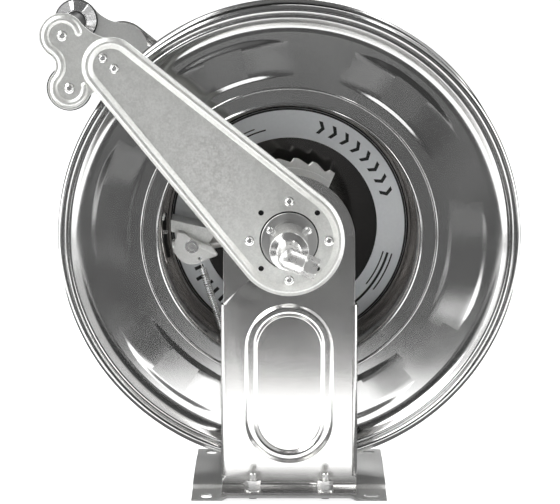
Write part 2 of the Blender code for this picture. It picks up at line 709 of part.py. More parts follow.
def make_case(parent):
    """The spring case behind the drum, its lid, the printed ring on the lid and the spiral spring inside."""
    back = LID_DEPTH + 2 * MM
    ring("spring_case_lid", 13.2 * MM, LID_RADIUS, LID_DEPTH, back, parent, "polished_steel", WIDE_STEPS)
    ring("label_ring", LABEL_INNER, LABEL_OUTER, LABEL_FACE, LID_DEPTH - GAP, parent, "label_print", WIDE_STEPS)
    lip = back + GAP + THIN_SHEET / 2
    line = [(CASE_RADIUS + 8 * MM, lip), (CASE_RADIUS + 1.5 * MM, lip), (CASE_RADIUS, lip + 1.5 * MM),
            (CASE_RADIUS, CASE_REAR - 6 * MM), (CASE_RADIUS - 5 * MM, CASE_REAR - 1 * MM), (17 * MM, CASE_REAR - 1 * MM)]
    turned("spring_case", sheet_section(line, THIN_SHEET), parent, "polished_steel", WIDE_STEPS)
    ring("case_bush", ARBOR_RADIUS + GAP, 16.7 * MM, CASE_REAR - 8 * MM, CASE_REAR + 2 * MM, parent,
         "black_plastic", 24)
    make_main_spring(parent)


def make_main_spring(parent):
    """A flat spiral strip, wound from beside the arbor to beside the case wall."""
    turns, steps, thickness = 5, 16, 1.2 * MM
    inner, outer = 22 * MM, 120 * MM
    count = turns * steps
    line = []
    for i in range(count + 1):
        angle = 2 * math.pi * i / steps
        radius = inner + (outer - inner) * i / count
        line.append(Vector((radius * math.cos(angle), radius * math.sin(angle))))
    outline = [p - p.normalized() * thickness / 2 for p in line]
    outline += [p + p.normalized() * thickness / 2 for p in reversed(line)]
    plate("main_spring", outline, [], 140 * MM, 45 * MM, parent, "spring_steel")


def make_shaft(parent):
    """The rotating inlet shaft: bored from the front, with a hub plate against the lid and a side port."""
    hub = LID_DEPTH - GAP
    section = [(SHAFT_BORE, -18 * MM), (SHAFT_RADIUS, -18 * MM), (SHAFT_RADIUS, hub - 3 * MM),
               (45 * MM, hub - 3 * MM), (45 * MM, hub), (0, hub), (0, 112 * MM), (SHAFT_BORE, 112 * MM)]
    shaft = apply_modifiers(turned("drum_shaft", section, parent, "fastener_steel", 28))
    port = rod("port", (0, 100 * MM, 0), (-40 * MM, 100 * MM, -10 * MM), 5 * MM, parent, sides=12)
    return cut_away(shaft, [port])


def make_outlet_pipe(parent):
    """A short bored pipe from the shaft's port to the slot in the shell, where the hose is clamped."""
    start = Vector((-13.4, 100, -3.4)) * MM
    end = Vector((-128, 100, -21)) * MM
    pipe = rod("hose_outlet_pipe", start, end, 8.5 * MM, parent, "cast_brass", sides=16)
    beyond = (end - start).normalized() * 2 * MM
    bore = rod("pipe_bore", start - beyond, end + beyond, 5 * MM, parent, sides=12)
    return cut_away(pipe, [bore])


def make_pawl_bracket(parent):
    """A band with a round lobe for the pawl's pin, its sloping top edge bent back to the lid."""
    depth = RATCHET_DEPTH + RATCHET_THICKNESS + 2.7 * MM
    thickness = 2 * MM
    left, right = Vector((-129.5, 12)) * MM, Vector((-81, 1)) * MM
    outline = [left, Vector((-129.5, -1)) * MM, Vector((-124, -2.5)) * MM]
    outline += arc(PAWL_PIVOT, 15.5 * MM, 172, 350, 12)
    outline += [Vector((-84, -8)) * MM, Vector((-81, -4)) * MM, right]
    hole = circle(PAWL_PIVOT, PAWL_PIN_RADIUS + GAP + 0.1 * MM, 14)
    body = as_mesh(plate("pawl_bracket", outline, [hole], depth, thickness, parent, "satin_steel"))
    slope = (right - left).normalized()
    down = Vector((slope.y, -slope.x)) * 2 * MM
    inset = slope * 0.6 * MM
    corners = [left + inset, right - inset, right - inset + down, left + inset + down]
    corners = [c - Vector((slope.y, -slope.x)) * 0.2 * MM for c in corners]
    shelf_start = depth + 0.5 * MM
    shelf_length = LABEL_FACE - GAP - shelf_start
    shelf = as_mesh(plate("shelf", corners, [], shelf_start, shelf_length, parent, "satin_steel"))
    return join_by_union(body, [shelf])


def make_pawl_pin(parent):
    """A pin with a head behind the bracket and a groove for its circlip."""
    plate_back = RATCHET_DEPTH + RATCHET_THICKNESS + 4.7 * MM
    groove = RATCHET_DEPTH - 2 * MM
    section = [(0, groove - 1.6 * MM), (PAWL_PIN_RADIUS, groove - 1.6 * MM), (PAWL_PIN_RADIUS, groove),
               (3.2 * MM, groove), (3.2 * MM, groove + 1.3 * MM), (PAWL_PIN_RADIUS, groove + 1.3 * MM),
               (PAWL_PIN_RADIUS, plate_back + GAP), (6.5 * MM, plate_back + GAP), (6.5 * MM, plate_back + 3 * MM),
               (0, plate_back + 3 * MM)]
    turned("pawl_pin", section, parent, "fastener_steel", 16)
    ring("pawl_circlip", 3.2 * MM + GAP, 6.8 * MM, groove + 0.2 * MM, groove + 1.1 * MM, parent, "fastener_steel", 16)


def make_spring_post(parent):
    section = [(0, 62 * MM), (3 * MM, 62 * MM), (3 * MM, LID_DEPTH - GAP), (0, LID_DEPTH - GAP)]
    turned("pawl_spring_post", section, parent, "fastener_steel", 12, (SPRING_POST.x, 0, SPRING_POST.y))


# ---------------------------------------------------------------- pawl

def make_pawl(parent):
    """A quadrant plate round its pin, with a nose towards the ratchet; local to the pin."""
    nose = Vector((28.2, -8.6)) * MM
    outline = arc((0, 0), 20 * MM, 150, 306, 14)
    outline += [nose + Vector((-1.2, -2.4)) * MM, nose, Vector((22.0, 0.5)) * MM, Vector((8.6, 4.0)) * MM,
                Vector((-8.0, 14.5)) * MM, Vector((-18.0, 15.0)) * MM]
    hole = circle((0, 0), PAWL_PIN_RADIUS + GAP + 0.1 * MM, 16)
    eye = circle(Vector((9.0, -13.5)) * MM, 1.8 * MM, 8)
    plate("pawl", outline, [hole, eye], RATCHET_DEPTH, RATCHET_THICKNESS, parent, "satin_steel")


def make_pawl_spring(parent):
    """A coil between the pawl's eye and the post, drawn from the pawl's pin."""
    eye = Vector((11.3, -22.4)) * MM
    post = SPRING_POST - PAWL_PIVOT
    direction = (post - eye).normalized()
    start = Vector((eye.x, 66 * MM, eye.y))
    end = Vector((post.x - direction.x * 5 * MM, 66 * MM, post.y - direction.y * 5 * MM))
    along = (end - start).normalized()
    side = Vector((0, 1, 0))
    lift = along.cross(side)
    turns, steps, radius = 10, 7, 3.3 * MM
    curve = bpy.data.curves.new("pawl_spring", "CURVE")
    curve.dimensions = "3D"
    curve.bevel_depth = 0.9 * MM
    curve.bevel_resolution = 1
    curve.use_fill_caps = True
    spline = curve.splines.new("POLY")
    count = turns * steps
    spline.points.add(count)
    for i in range(count + 1):
        angle = 2 * math.pi * i / steps
        point = start.lerp(end, i / count) + (side * math.cos(angle) + lift * math.sin(angle)) * radius
        spline.points[i].co = (point.x, point.y, point.z, 1)
    place(bpy.data.objects.new("pawl_spring", curve), parent, "spring_steel")


# ---------------------------------------------------------------- inlet swivel

def make_inlet(parent):
    """The swivel elbow: a sleeve on the shaft's nose, a neck and an outlet that turns down to the right."""
    bore = SHAFT_RADIUS + GAP
    groove = 15 * MM
    collar = [(bore, COLLAR_BACK), (COLLAR_RADIUS, COLLAR_BACK), (COLLAR_RADIUS, COLLAR_FRONT + 1 * MM),
              (COLLAR_RADIUS - 1 * MM, COLLAR_FRONT), (NECK_RADIUS, NECK_BACK), (0, NECK_BACK), (0, -20.5 * MM),
              (bore, -20.5 * MM), (bore, -13.5 * MM), (groove, -13.5 * MM), (groove, -10.5 * MM), (bore, -10.5 * MM)]
    elbow = apply_modifiers(turned("inlet_elbow", collar, parent, "cast_brass", 28))
    direction = Vector((math.cos(ELBOW_HEADING), 0, math.sin(ELBOW_HEADING)))
    bend = Vector((0, ELBOW_DEPTH, 0))
    neck = rod("neck", (0, NECK_BACK + 2 * MM, 0), (0, ELBOW_DEPTH - NECK_RADIUS, 0), NECK_RADIUS, parent, sides=24)
    tube = rod("tube", bend - direction * 6 * MM, bend + direction * TUBE_LENGTH, NECK_RADIUS - 0.1 * MM, parent,
               sides=20)
    hexagon = rod("hexagon", bend + direction * (TUBE_LENGTH - 1 * MM), bend + direction * ELBOW_REACH,
                  NECK_RADIUS + 0.2 * MM, parent, sides=6)
    join_by_union(elbow, [neck, tube, hexagon])
    inward = rod("inward", (0, -18 * MM, 0), bend, INLET_BORE, parent, sides=12)
    outward = rod("outward", bend - direction * 3 * MM, bend + direction * (ELBOW_REACH + 4 * MM),
                  INLET_BORE + 0.4 * MM, parent, sides=12)
    cut_away(elbow, [inward, outward])
    ring("swivel_seal", SHAFT_RADIUS + 0.2 * MM, groove - 0.3 * MM, -13.2 * MM, -10.8 * MM, parent, "seal_rubber", 28)


# ---------------------------------------------------------------- rollers

def make_roller(name, parent):
    """A hose roller with flared ends, bored for its bolt; local to its own axis."""
    near, far = SHEET + 0.7 * MM, PLATE_SPAN - SHEET - 0.7 * MM
    flare, waist, length = 24.5 * MM, 11 * MM, 20 * MM
    bore = 4.4 * MM
    section = [(bore, near), (flare, near), (flare, near + 1.5 * MM), (waist + 2 * MM, near + length * 0.8),
               (waist, near + length), (waist, far - length), (waist + 2 * MM, far - length * 0.8),
               (flare, far - 1.5 * MM), (flare, far), (bore, far)]
    turned(name, section, parent, "black_plastic", 28)


# ---------------------------------------------------------------- assembly

clear_scene()
PARTS = new_collection("fire_hose_reel")
CUTTERS = new_collection("cutters")
reel_axis = empty("reel_axis", (AXIS_X, FRONT_FACE_Y, AXIS_HEIGHT))
drum_axis = empty("drum_axis", (0, 0, 0), reel_axis)
inlet_axis = empty("inlet_axis", (0, 0, 0), reel_axis)
upper_axis = empty("upper_roller_axis", (UPPER_ROLLER.x, 0, UPPER_ROLLER.y), reel_axis)
lower_axis = empty("lower_roller_axis", (LOWER_ROLLER.x, 0, LOWER_ROLLER.y), reel_axis)
pawl_axis = empty("pawl_axis", (PAWL_PIVOT.x, 0, PAWL_PIVOT.y), drum_axis)
bpy.context.view_layer.update()

make_base(reel_axis)
make_pedestal("front_pedestal", 0, 1, reel_axis)
make_pedestal("rear_pedestal", PLATE_SPAN, -1, reel_axis)
make_arms_and_brackets(reel_axis)
make_frame_fasteners(reel_axis)
make_housing(reel_axis)
ring("front_bearing", SHAFT_RADIUS + GAP, 16.2 * MM, 2 * MM, 23.7 * MM, reel_axis, "black_plastic", 28)
make_ratchet(reel_axis)
make_arbor_side(reel_axis)
make_flanges(drum_axis)
make_shell(drum_axis)
make_case(drum_axis)
make_shaft(drum_axis)
make_outlet_pipe(drum_axis)
make_pawl_bracket(drum_axis)
make_pawl_pin(pawl_axis)
make_spring_post(drum_axis)
make_pawl(pawl_axis)
make_pawl_spring(pawl_axis)
make_inlet(inlet_axis)
make_roller("roller_upper", upper_axis)
make_roller("roller_lower", lower_axis)
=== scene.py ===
import math

import bmesh
import bpy
from mathutils import Matrix, Vector


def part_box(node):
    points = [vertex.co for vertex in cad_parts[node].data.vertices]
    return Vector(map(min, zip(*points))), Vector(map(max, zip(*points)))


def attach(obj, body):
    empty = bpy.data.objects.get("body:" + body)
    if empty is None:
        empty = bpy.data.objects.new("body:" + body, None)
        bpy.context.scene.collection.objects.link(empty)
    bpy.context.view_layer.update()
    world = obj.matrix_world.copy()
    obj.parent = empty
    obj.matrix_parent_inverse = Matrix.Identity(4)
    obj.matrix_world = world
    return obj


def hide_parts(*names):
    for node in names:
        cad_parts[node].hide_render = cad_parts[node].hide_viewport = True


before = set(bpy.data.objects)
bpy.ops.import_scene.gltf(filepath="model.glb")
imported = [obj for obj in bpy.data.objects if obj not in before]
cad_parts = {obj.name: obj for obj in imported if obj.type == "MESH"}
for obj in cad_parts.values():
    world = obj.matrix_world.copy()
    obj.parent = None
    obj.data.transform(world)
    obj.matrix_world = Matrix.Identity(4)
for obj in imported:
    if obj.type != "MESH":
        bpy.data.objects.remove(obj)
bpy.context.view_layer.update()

# ---------------------------------------------------------------- frame and dimensions
# Pieces are drawn in millimetres from the drum's axis in the front pedestal's outer face:
# x to the right, depth away from the inlet side, z up.

MM = 0.001
shaft_low, shaft_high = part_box("drum_shaft")
AXIS = Vector(((shaft_low.x + shaft_high.x) / 2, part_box("front_roller_bracket")[0].y,
               (shaft_low.z + shaft_high.z) / 2))
X, Y, Z = (1, 0, 0), (0, 1, 0), (0, 0, 1)

SPAN = 230.0                      # between the pedestals' outer faces
FLOOR = -278.0
SHEET = 2.5
THIN_SHEET = 1.5
GAP = 0.3

FLANGE_RADIUS = 250.0
FRONT_WEB, REAR_WEB = 40.0, 130.0
SHELL_RADIUS = 141.0
LID_DEPTH = 129.1
LABEL_FACE = 128.0
CASE_RADIUS, CASE_REAR = 132.0, 198.0
PAD_INNER, PAD_OUTER = 173.6, 212.0
PAD_CENTRE, PAD_HALF = 39.6, 13.7         # degrees clockwise from the top
PAD_HEIGHT = 1.7

ARM_END = Vector((-189.4, 187.0))
ARM_BIG, ARM_SMALL = 59.5, 31.0
BRACKET_SCREWS = (Vector((-198.0, 195.5)), Vector((-186.0, 184.4)))
UPPER_ROLLER, LOWER_ROLLER = Vector((-241.0, 219.0)), Vector((-233.7, 163.4))
UPPER_LOBE, LOWER_LOBE, BRACKET_END = 24.4, 23.0, 29.0
WAIST_FILLET = 13.0
PAWL_PIVOT = Vector((-106.3, -16.5))
SPRING_POST = Vector((-71.0, -114.2))
RATCHET = 70.3

BASE_FRONT, BASE_REAR, BASE_HALF = -34.0, 232.0, 105.0
FOOT_FLANGE = 33.5
BASE_SHEET, BASE_LIFT = 3.0, 4.0
DECK = FLOOR + BASE_SHEET + BASE_LIFT
FOOT_LENGTH, JOGGLE = 49.5, 9.0
FOOT_INNER, FOOT_SLOPE = 64.0, 11.5
BOLT_X, BOLT_INSET = 39.0, 24.0


def clockwise(radius, degrees, centre=(0, 0)):
    """A point in the plane across the axis, at an angle measured clockwise from the top."""
    turn = math.radians(degrees)
    return Vector((centre[0] + radius * math.sin(turn), centre[1] + radius * math.cos(turn)))


def polar_point(radius, degrees, centre=(0, 0)):
    """A point in the same plane, at an angle measured anticlockwise from +x."""
    return clockwise(radius, 90 - degrees, centre)


ARM_SCREWS = [clockwise(42.5, a) for a in (0, 90, 180, 270)]
SPARE_HOLES = [clockwise(42.5, a) for a in (45, 135, 225, 315)]
HOUSING_SCREWS = [clockwise(23.4, a) for a in (-60, 60, 180)]


# ---------------------------------------------------------------- materials

class Shading:
    """The shader nodes of a material or world, with short ways to add nodes and to join them."""

    def __init__(self, owner):
        owner.use_nodes = True
        self.owner = owner
        self.nodes, self.links = owner.node_tree.nodes, owner.node_tree.links

    def set(self, node, values):
        """Give inputs of a node a constant each, or the socket that feeds it."""
        for key, value in values.items():
            if isinstance(value, bpy.types.NodeSocket):
                self.links.new(value, node.inputs[key])
            else:
                node.inputs[key].default_value = value
        return node

    def add(self, kind, values, **settings):
        node = self.nodes.new("ShaderNode" + kind)
        for key, value in settings.items():
            setattr(node, key, value)
        return self.set(node, values)

    def maths(self, operation, *values):
        return self.add("Math", dict(enumerate(values)), operation=operation).outputs[0]

    def vectors(self, operation, *values):
        return self.add("VectorMath", dict(enumerate(values)), operation=operation).outputs

    def coords(self, kind="Object"):
        return self.add("TexCoord", {}).outputs[kind]

    def noise(self, source, scale, detail=3.0, rough=0.5):
        return self.add("TexNoise", {"Vector": source, "Scale": scale, "Detail": detail,
                                     "Roughness": rough}).outputs["Fac"]

    def spread(self, value, low, high, from_low=0.3, from_high=0.7, **settings):
        return self.add("MapRange", {"Value": value, "From Min": from_low, "From Max": from_high,
                                     "To Min": low, "To Max": high}, **settings).outputs["Result"]

    def tint(self, factor, first, second):
        return self.add("Mix", {"Factor": factor, "A": (*first, 1), "B": (*second, 1)},
                        data_type="RGBA").outputs["Result"]

    def bump(self, height, strength, distance, before=None):
        values = {"Strength": strength, "Distance": distance, "Height": height}
        if before:
            values["Normal"] = before
        return self.add("Bump", values).outputs["Normal"]

    def surface(self, values):
        """Set inputs of the material's main shader."""
        return self.set(self.nodes["Principled BSDF"], values)


def sheet_metal(name, dark, light, roughness, grain=900.0, strength=0.12, metallic=1.0, mottle=45.0):
    """Metal sheet: a fine grain over slow mottling, in its colour, its roughness and its surface."""
    made = Shading(bpy.data.materials.new(name))
    source = made.add("Mapping", {"Vector": made.coords()}).outputs["Vector"]
    fine = made.noise(source, grain, 2.0)
    slow = made.noise(source, mottle, 4.0, 0.6)
    both = made.maths("MULTIPLY_ADD", fine, 0.55, made.maths("MULTIPLY", slow, 0.45))
    made.surface({"Metallic": metallic,
                  "Base Color": made.tint(made.spread(both, 0, 1, 0.38, 0.62), dark, light),
                  "Roughness": made.spread(both, *roughness, 0.38, 0.62),
                  "Normal": made.bump(fine, strength, 0.0002)})
    return made


def spun_metal(name, dark, light, roughness, strength):
    """Turned or spun metal: fine rings about the drum's axis and slow cloudy patches."""
    made = Shading(bpy.data.materials.new(name))
    offset = made.vectors("SUBTRACT", made.coords(), AXIS)[0]
    radius = made.vectors("LENGTH", made.vectors("MULTIPLY", offset, (1, 0, 1))[0])["Value"]
    rings = made.add("TexNoise", {"W": radius, "Scale": 1500, "Detail": 3},
                     noise_dimensions="1D").outputs["Fac"]
    cloud = made.noise(offset, 9, 4.0, 0.55)
    speck = made.noise(offset, 700, 2.0)
    blend = made.maths("MULTIPLY_ADD", rings, 0.4, cloud)
    made.surface({"Metallic": 1.0, "Base Color": made.tint(made.spread(cloud, 0, 1), dark, light),
                  "Roughness": made.spread(blend, *roughness, 0.5, 0.95),
                  "Normal": made.bump(speck, strength, 0.00005, made.bump(rings, strength, 0.00005))})
    return made


def lathed_metal(name, dark, light, roughness):
    """Metal with a lathe's grooves round its own middle, which draw highlights out along the radius."""
    made = sheet_metal(name, dark, light, roughness, grain=400, strength=0.0, metallic=0.95)
    tangent = made.add("Tangent", {}, direction_type="RADIAL", axis="Y")
    made.surface({"Anisotropic": 0.75, "Anisotropic Rotation": 0.25, "Tangent": tangent.outputs["Tangent"]})
    return made


def plain_stuff(name, dark, light, roughness, grain, strength=0.3):
    """Rubber, plastic or ink: the same grey throughout, apart from its grain."""
    return sheet_metal(name, (dark,) * 3, (light,) * 3, roughness, grain, strength, metallic=0.0)


FINISHES = {                      # each a look and the part's material slot
    "satin": (sheet_metal("satin_stainless", (0.76, 0.765, 0.74), (0.86, 0.865, 0.84), (0.38, 0.46),
                          grain=520, strength=0.3, mottle=160, metallic=0.9), "satin_steel"),
    "sheet": (sheet_metal("bright_sheet", (0.72, 0.715, 0.705), (0.79, 0.785, 0.775), (0.17, 0.22),
                          grain=650, strength=0.07, mottle=14), "satin_steel"),
    "pale": (sheet_metal("pale_plate", (0.80, 0.80, 0.78), (0.88, 0.88, 0.86), (0.36, 0.46),
                         grain=500, strength=0.3, mottle=30, metallic=0.85), "satin_steel"),
    # darker stainless for the base plate; on the rear roller bracket it is painted shade
    "base": (sheet_metal("base_stainless", (0.74, 0.745, 0.735), (0.82, 0.82, 0.81), (0.30, 0.38),
                         grain=420, strength=0.08, mottle=12, metallic=0.9), "satin_steel"),
    "spun": (spun_metal("spun_stainless", (0.55, 0.55, 0.545), (0.65, 0.65, 0.645), (0.14, 0.20), 0.010),
             "polished_steel"),
    # painted reflection: the polished lid's very dark base colour stands in for the dark surroundings that it
    # reflects
    "lid": (spun_metal("lid_painted_dark_reflection", (0.10, 0.097, 0.094), (0.17, 0.165, 0.16), (0.07, 0.12), 0.02),
            "polished_steel"),
    "case": (spun_metal("case_steel", (0.50, 0.475, 0.455), (0.64, 0.62, 0.60), (0.14, 0.24), 0.03),
             "polished_steel"),
    "turned": (spun_metal("turned_steel", (0.56, 0.56, 0.555), (0.68, 0.68, 0.675), (0.26, 0.34), 0.05),
               "polished_steel"),
    "lathed_cone": (lathed_metal("lathed_cone", (0.60, 0.60, 0.60), (0.70, 0.70, 0.70), (0.12, 0.16)),
                    "fastener_steel"),
    "lathed": (lathed_metal("lathed_nickel", (0.70, 0.695, 0.685), (0.80, 0.795, 0.785), (0.18, 0.24)),
               "cast_brass"),
    "bright": (sheet_metal("bright_fasteners", (0.78, 0.78, 0.77), (0.88, 0.88, 0.87), (0.16, 0.22),
                           grain=300, strength=0.0, metallic=0.88), "fastener_steel"),
    "plated": (sheet_metal("nickel_plate", (0.70, 0.695, 0.685), (0.76, 0.755, 0.74), (0.26, 0.32),
                           grain=300, strength=0.0, metallic=0.78), "cast_brass"),
    "wire": (sheet_metal("spring_wire", (0.74, 0.74, 0.74), (0.86, 0.86, 0.86), (0.22, 0.32),
                         strength=0.05), "spring_steel"),
    "oiled": (sheet_metal("oiled_strip", (0.20, 0.20, 0.21), (0.32, 0.32, 0.33), (0.28, 0.4), grain=500),
              "spring_steel"),
    "label": (sheet_metal("silver_print", (0.86, 0.885, 0.90), (0.90, 0.925, 0.94), (0.30, 0.36),
                          grain=300, strength=0.0, metallic=0.45, mottle=12), "label_print"),
    "ink": (plain_stuff("black_print", 0.006, 0.014, (0.45, 0.55), 500, 0.05), "label_print"),
    "plastic": (plain_stuff("black_nylon", 0.012, 0.025, (0.38, 0.5), 700, 0.1), "black_plastic"),
    "rubber": (plain_stuff("nitrile", 0.008, 0.018, (0.6, 0.75), 900), "seal_rubber"),
}


# ---------------------------------------------------------------- mesh helpers
# A piece whose name ends in _fine takes the place of the CAD part of the same name.

def placed(name, data):
    obj = bpy.data.objects.new(name, data)
    bpy.context.scene.collection.objects.link(obj)
    return obj


def placed_mesh(name, bm):
    mesh = bpy.data.meshes.new(name)
    bm.to_mesh(mesh)
    bm.free()
    return placed(name, mesh)


def bevelled(obj, width, angle):
    edge = obj.modifiers.new("Bevel", "BEVEL")
    edge.width = width
    edge.segments = 2
    edge.limit_method = "ANGLE"
    edge.angle_limit = math.radians(angle)


def finished(name, bm, finish, body, smooth=34, bevel=0.0, sheet=0.0, stands_for=()):
    """Turn a bmesh in local millimetres into a piece: outward normals, smooth faces, a finish and a body."""
    obj = placed_mesh(name, bm)
    if sheet:
        solid = obj.modifiers.new("Solidify", "SOLIDIFY")
        solid.thickness = sheet
        solid.offset = 0
        solid.use_even_offset = True
    if bevel:
        bevelled(obj, bevel, 55)
    if sheet or bevel:
        applied(obj)
    return settle(obj, finish, body, smooth, stands_for)


def applied(obj):
    """Replace an object's mesh by its evaluated one."""
    bpy.context.view_layer.update()
    evaluated = obj.evaluated_get(bpy.context.evaluated_depsgraph_get())
    mesh = bpy.data.meshes.new_from_object(evaluated)
    obj.modifiers.clear()
    obj.data = mesh
    return obj


def settle(obj, finish, body, smooth=34, stands_for=()):
    """Move a piece drawn in local millimetres to its place and give it its finish and body."""
    level = 0.004                 # a face this flat along y or z is shaded flat
    bm = bmesh.new()
    bm.from_mesh(obj.data)
    bmesh.ops.recalc_face_normals(bm, faces=bm.faces)
    limit = math.radians(smooth)
    for face in bm.faces:
        face.smooth = not any(max(v.co[k] for v in face.verts) - min(v.co[k] for v in face.verts) < level
                              for k in (1, 2))
    for edge in bm.edges:
        edge.smooth = len(edge.link_faces) == 2 and edge.calc_face_angle(0) < limit
    bmesh.ops.transform(bm, matrix=Matrix.Translation(AXIS) @ Matrix.Scale(MM, 4), verts=bm.verts)
    bm.to_mesh(obj.data)
    bm.free()
    look, slot_name = FINISHES[finish]
    obj.data.materials.clear()
    obj.data.materials.append(look.owner)
    if obj.name.endswith("_fine"):
        stands_for = (obj.name.removesuffix("_fine"),)
    if stands_for:
        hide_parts(*stands_for)
    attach(obj, body)
    return obj


def carve(obj, tools, operation="DIFFERENCE"):
    """Booleans between objects still drawn in local millimetres."""
    for tool in tools:
        modifier = obj.modifiers.new("Cut", "BOOLEAN")
        modifier.operation = operation
        modifier.solver = "EXACT"
        modifier.object = tool
    applied(obj)
    for tool in tools:
        bpy.data.objects.remove(tool, do_unlink=True)
    return obj


def loose(name, bm):
    """An unfinished object in local millimetres, for booleans."""
    bmesh.ops.recalc_face_normals(bm, faces=bm.faces)
    return placed_mesh(name, bm)


def arc(centre, radius, start, end, steps):
    """Points from one angle to another in degrees, anticlockwise from +x."""
    turns = [math.radians(start + (end - start) * i / steps) for i in range(steps + 1)]
    return [Vector((centre[0] + radius * math.cos(t), centre[1] + radius * math.sin(t))) for t in turns]


def circle(centre, radius, steps=32):
    return arc(centre, radius, 0, 360, steps)[:-1]


def even(radius, count):
    """Polar points (angle, radius), evenly round a circle."""
    return [(2 * math.pi * i / count, radius) for i in range(count)]


def ring(centre, right, up, polar):
    """Points at angles and radii round a centre, in the plane of two directions."""
    return [[c + (r * math.cos(angle) + u * math.sin(angle)) * radius
             for c, r, u in zip(centre, right, up)] for angle, radius in polar]


def at_depth(bm, points, depth):
    """New vertices for points of the plane across the axis."""
    return [bm.verts.new((p[0], depth, p[1])) for p in points]


def rounded(points, closed=True, steps=4):
    """A line through (a, b, radius) corners, with each corner rounded to its radius."""
    line = []
    count = len(points)
    for i, (a, b, radius) in enumerate(points):
        corner = Vector((a, b))
        if radius <= 0 or (not closed and i in (0, count - 1)):
            line.append(corner)
            continue
        before = Vector(points[i - 1][:2]) - corner
        after = Vector(points[(i + 1) % count][:2]) - corner
        half = before.angle(after) / 2
        if half > math.radians(89.5):
            line.append(corner)
            continue
        cut = min(radius / math.tan(half), before.length * 0.49, after.length * 0.49)
        radius = cut * math.tan(half)
        towards = (before.normalized() + after.normalized()).normalized()
        middle = corner + towards * (radius / math.sin(half))
        first = corner + before.normalized() * cut - middle
        last = corner + after.normalized() * cut - middle
        sweep_angle = first.angle_signed(last)
        line += [middle + Matrix.Rotation(-sweep_angle * k / steps, 2) @ first for k in range(steps + 1)]
    return line


def thicken(points, thickness):
    """Close a bent sheet's middle line into a section of even thickness."""
    front, back = [], []
    for i, point in enumerate(points):
        before = (point - points[i - 1]).normalized() if i else None
        after = (points[i + 1] - point).normalized() if i < len(points) - 1 else None
        tangent = ((before or after) + (after or before)).normalized()
        normal = Vector((-tangent.y, tangent.x))
        ahead = after or before
        lean = max(normal.dot(Vector((-ahead.y, ahead.x))), 0.3)
        front.append(point + normal * (thickness / 2 / lean))
        back.append(point - normal * (thickness / 2 / lean))
    return front + back[::-1]


def bridge(bm, first, second):
    count = len(first)
    for i in range(count):
        j = (i + 1) % count
        bm.faces.new((first[i], first[j], second[j], second[i]))


def loft(bm, loops, closed=False):
    """Skin over loops of points with equal counts: a closed ring of loops, or a solid with flat ends."""
    rows = [[bm.verts.new(p) for p in loop] for loop in loops]
    for first, second in zip(rows, rows[1:]):
        bridge(bm, first, second)
    if closed:
        bridge(bm, rows[-1], rows[0])
    else:
        bm.faces.new(rows[0])
        bm.faces.new(rows[-1])
    return bm


def turned(section, steps=96, centre=(0, 0)):
    """Spin a section of (radius, depth) round a line along Y; radius 0 closes it at a point."""
    bm = bmesh.new()
    rows = [[bm.verts.new(p) for p in ring((centre[0], depth, centre[1]), X, Z,
                                           even(radius, steps) if radius > 1e-6 else [(0, 0)])]
            for radius, depth in section]
    pairs = list(zip(rows, rows[1:]))
    if len(rows[0]) > 1 or len(rows[-1]) > 1:
        pairs.append((rows[-1], rows[0]))
    for first, second in pairs:
        if len(first) == 1 and len(second) == 1:
            continue
        if len(first) == 1 or len(second) == 1:
            tip, row = (first[0], second) if len(first) == 1 else (second[0], first)
            for i in range(steps):
                bm.faces.new((tip, row[i], row[(i + 1) % steps]))
        else:
            bridge(bm, first, second)
    return bm


def lathe(name, corners, finish, body, steps=96, centre=(0, 0), smooth=34, stands_for=()):
    return finished(name, turned(rounded(corners), steps, centre), finish, body, smooth,
                    stands_for=stands_for)


def plate(name, outline, holes, depth, thickness, finish, body, edge=0.4):
    """A flat plate across the Y axis with softened edges."""
    curve = bpy.data.curves.new(name, "CURVE")
    curve.dimensions = "2D"
    curve.fill_mode = "BOTH"
    curve.extrude = thickness / 2 - edge
    curve.bevel_depth = edge
    curve.bevel_resolution = 1
    curve.offset = -edge
    for points in [outline] + list(holes):
        spline = curve.splines.new("POLY")
        spline.points.add(len(points) - 1)
        for spot, point in zip(spline.points, points):
            spot.co = (point[0], point[1], 0, 1)
        spline.use_cyclic_u = True
    source = placed(name + "_outline", curve)
    bpy.context.view_layer.update()
    mesh = bpy.data.meshes.new_from_object(source.evaluated_get(bpy.context.evaluated_depsgraph_get()))
    bpy.data.objects.remove(source, do_unlink=True)
    bm = bmesh.new()
    bm.from_mesh(mesh)
    bmesh.ops.remove_doubles(bm, verts=bm.verts, dist=0.002)
    stand = Matrix.Translation((0, depth + thickness / 2, 0)) @ Matrix.Rotation(math.pi / 2, 4, "X")
    bmesh.ops.transform(bm, verts=bm.verts, matrix=stand)
    return finished(name, bm, finish, body)


def filled(bm, rims):
    """Fill the flat area between closed rims of existing vertices."""
    edges = []
    for rim in rims:
        for a, b in zip(rim, rim[1:] + rim[:1]):
            edges.append(bm.edges.get((a, b)) or bm.edges.new((a, b)))
    bmesh.ops.triangle_fill(bm, edges=edges, use_beauty=True)


def ease(value):
    value = min(max(value, 0.0), 1.0)
    return value * value * (3 - 2 * value)


def sweep(name, points, radius, finish, body, sides=8):
    """A round wire along a line of points."""
    loops = []
    normal = None
    for i, point in enumerate(points):
        ahead = (points[min(i + 1, len(points) - 1)] - points[max(i - 1, 0)]).normalized()
        if normal is None:
            normal = ahead.orthogonal().normalized()
        normal = (normal - ahead * normal.dot(ahead)).normalized()
        loops.append(ring(point, normal, ahead.cross(normal), even(radius, sides)))
    return finished(name, loft(bmesh.new(), loops), finish, body, smooth=50)


# ---------------------------------------------------------------- fasteners

def hexagon(radius, turn=0.0, count=24, limit=None):
    """Polar points round a hexagon with that corner radius, clipped to a circle."""
    points = []
    for i in range(count):
        angle = 2 * math.pi * i / count
        local = (angle - turn) % (math.pi / 3) - math.pi / 6
        reach = radius * math.cos(math.pi / 6) / math.cos(local)
        points.append((angle, min(reach, limit) if limit else reach))
    return points


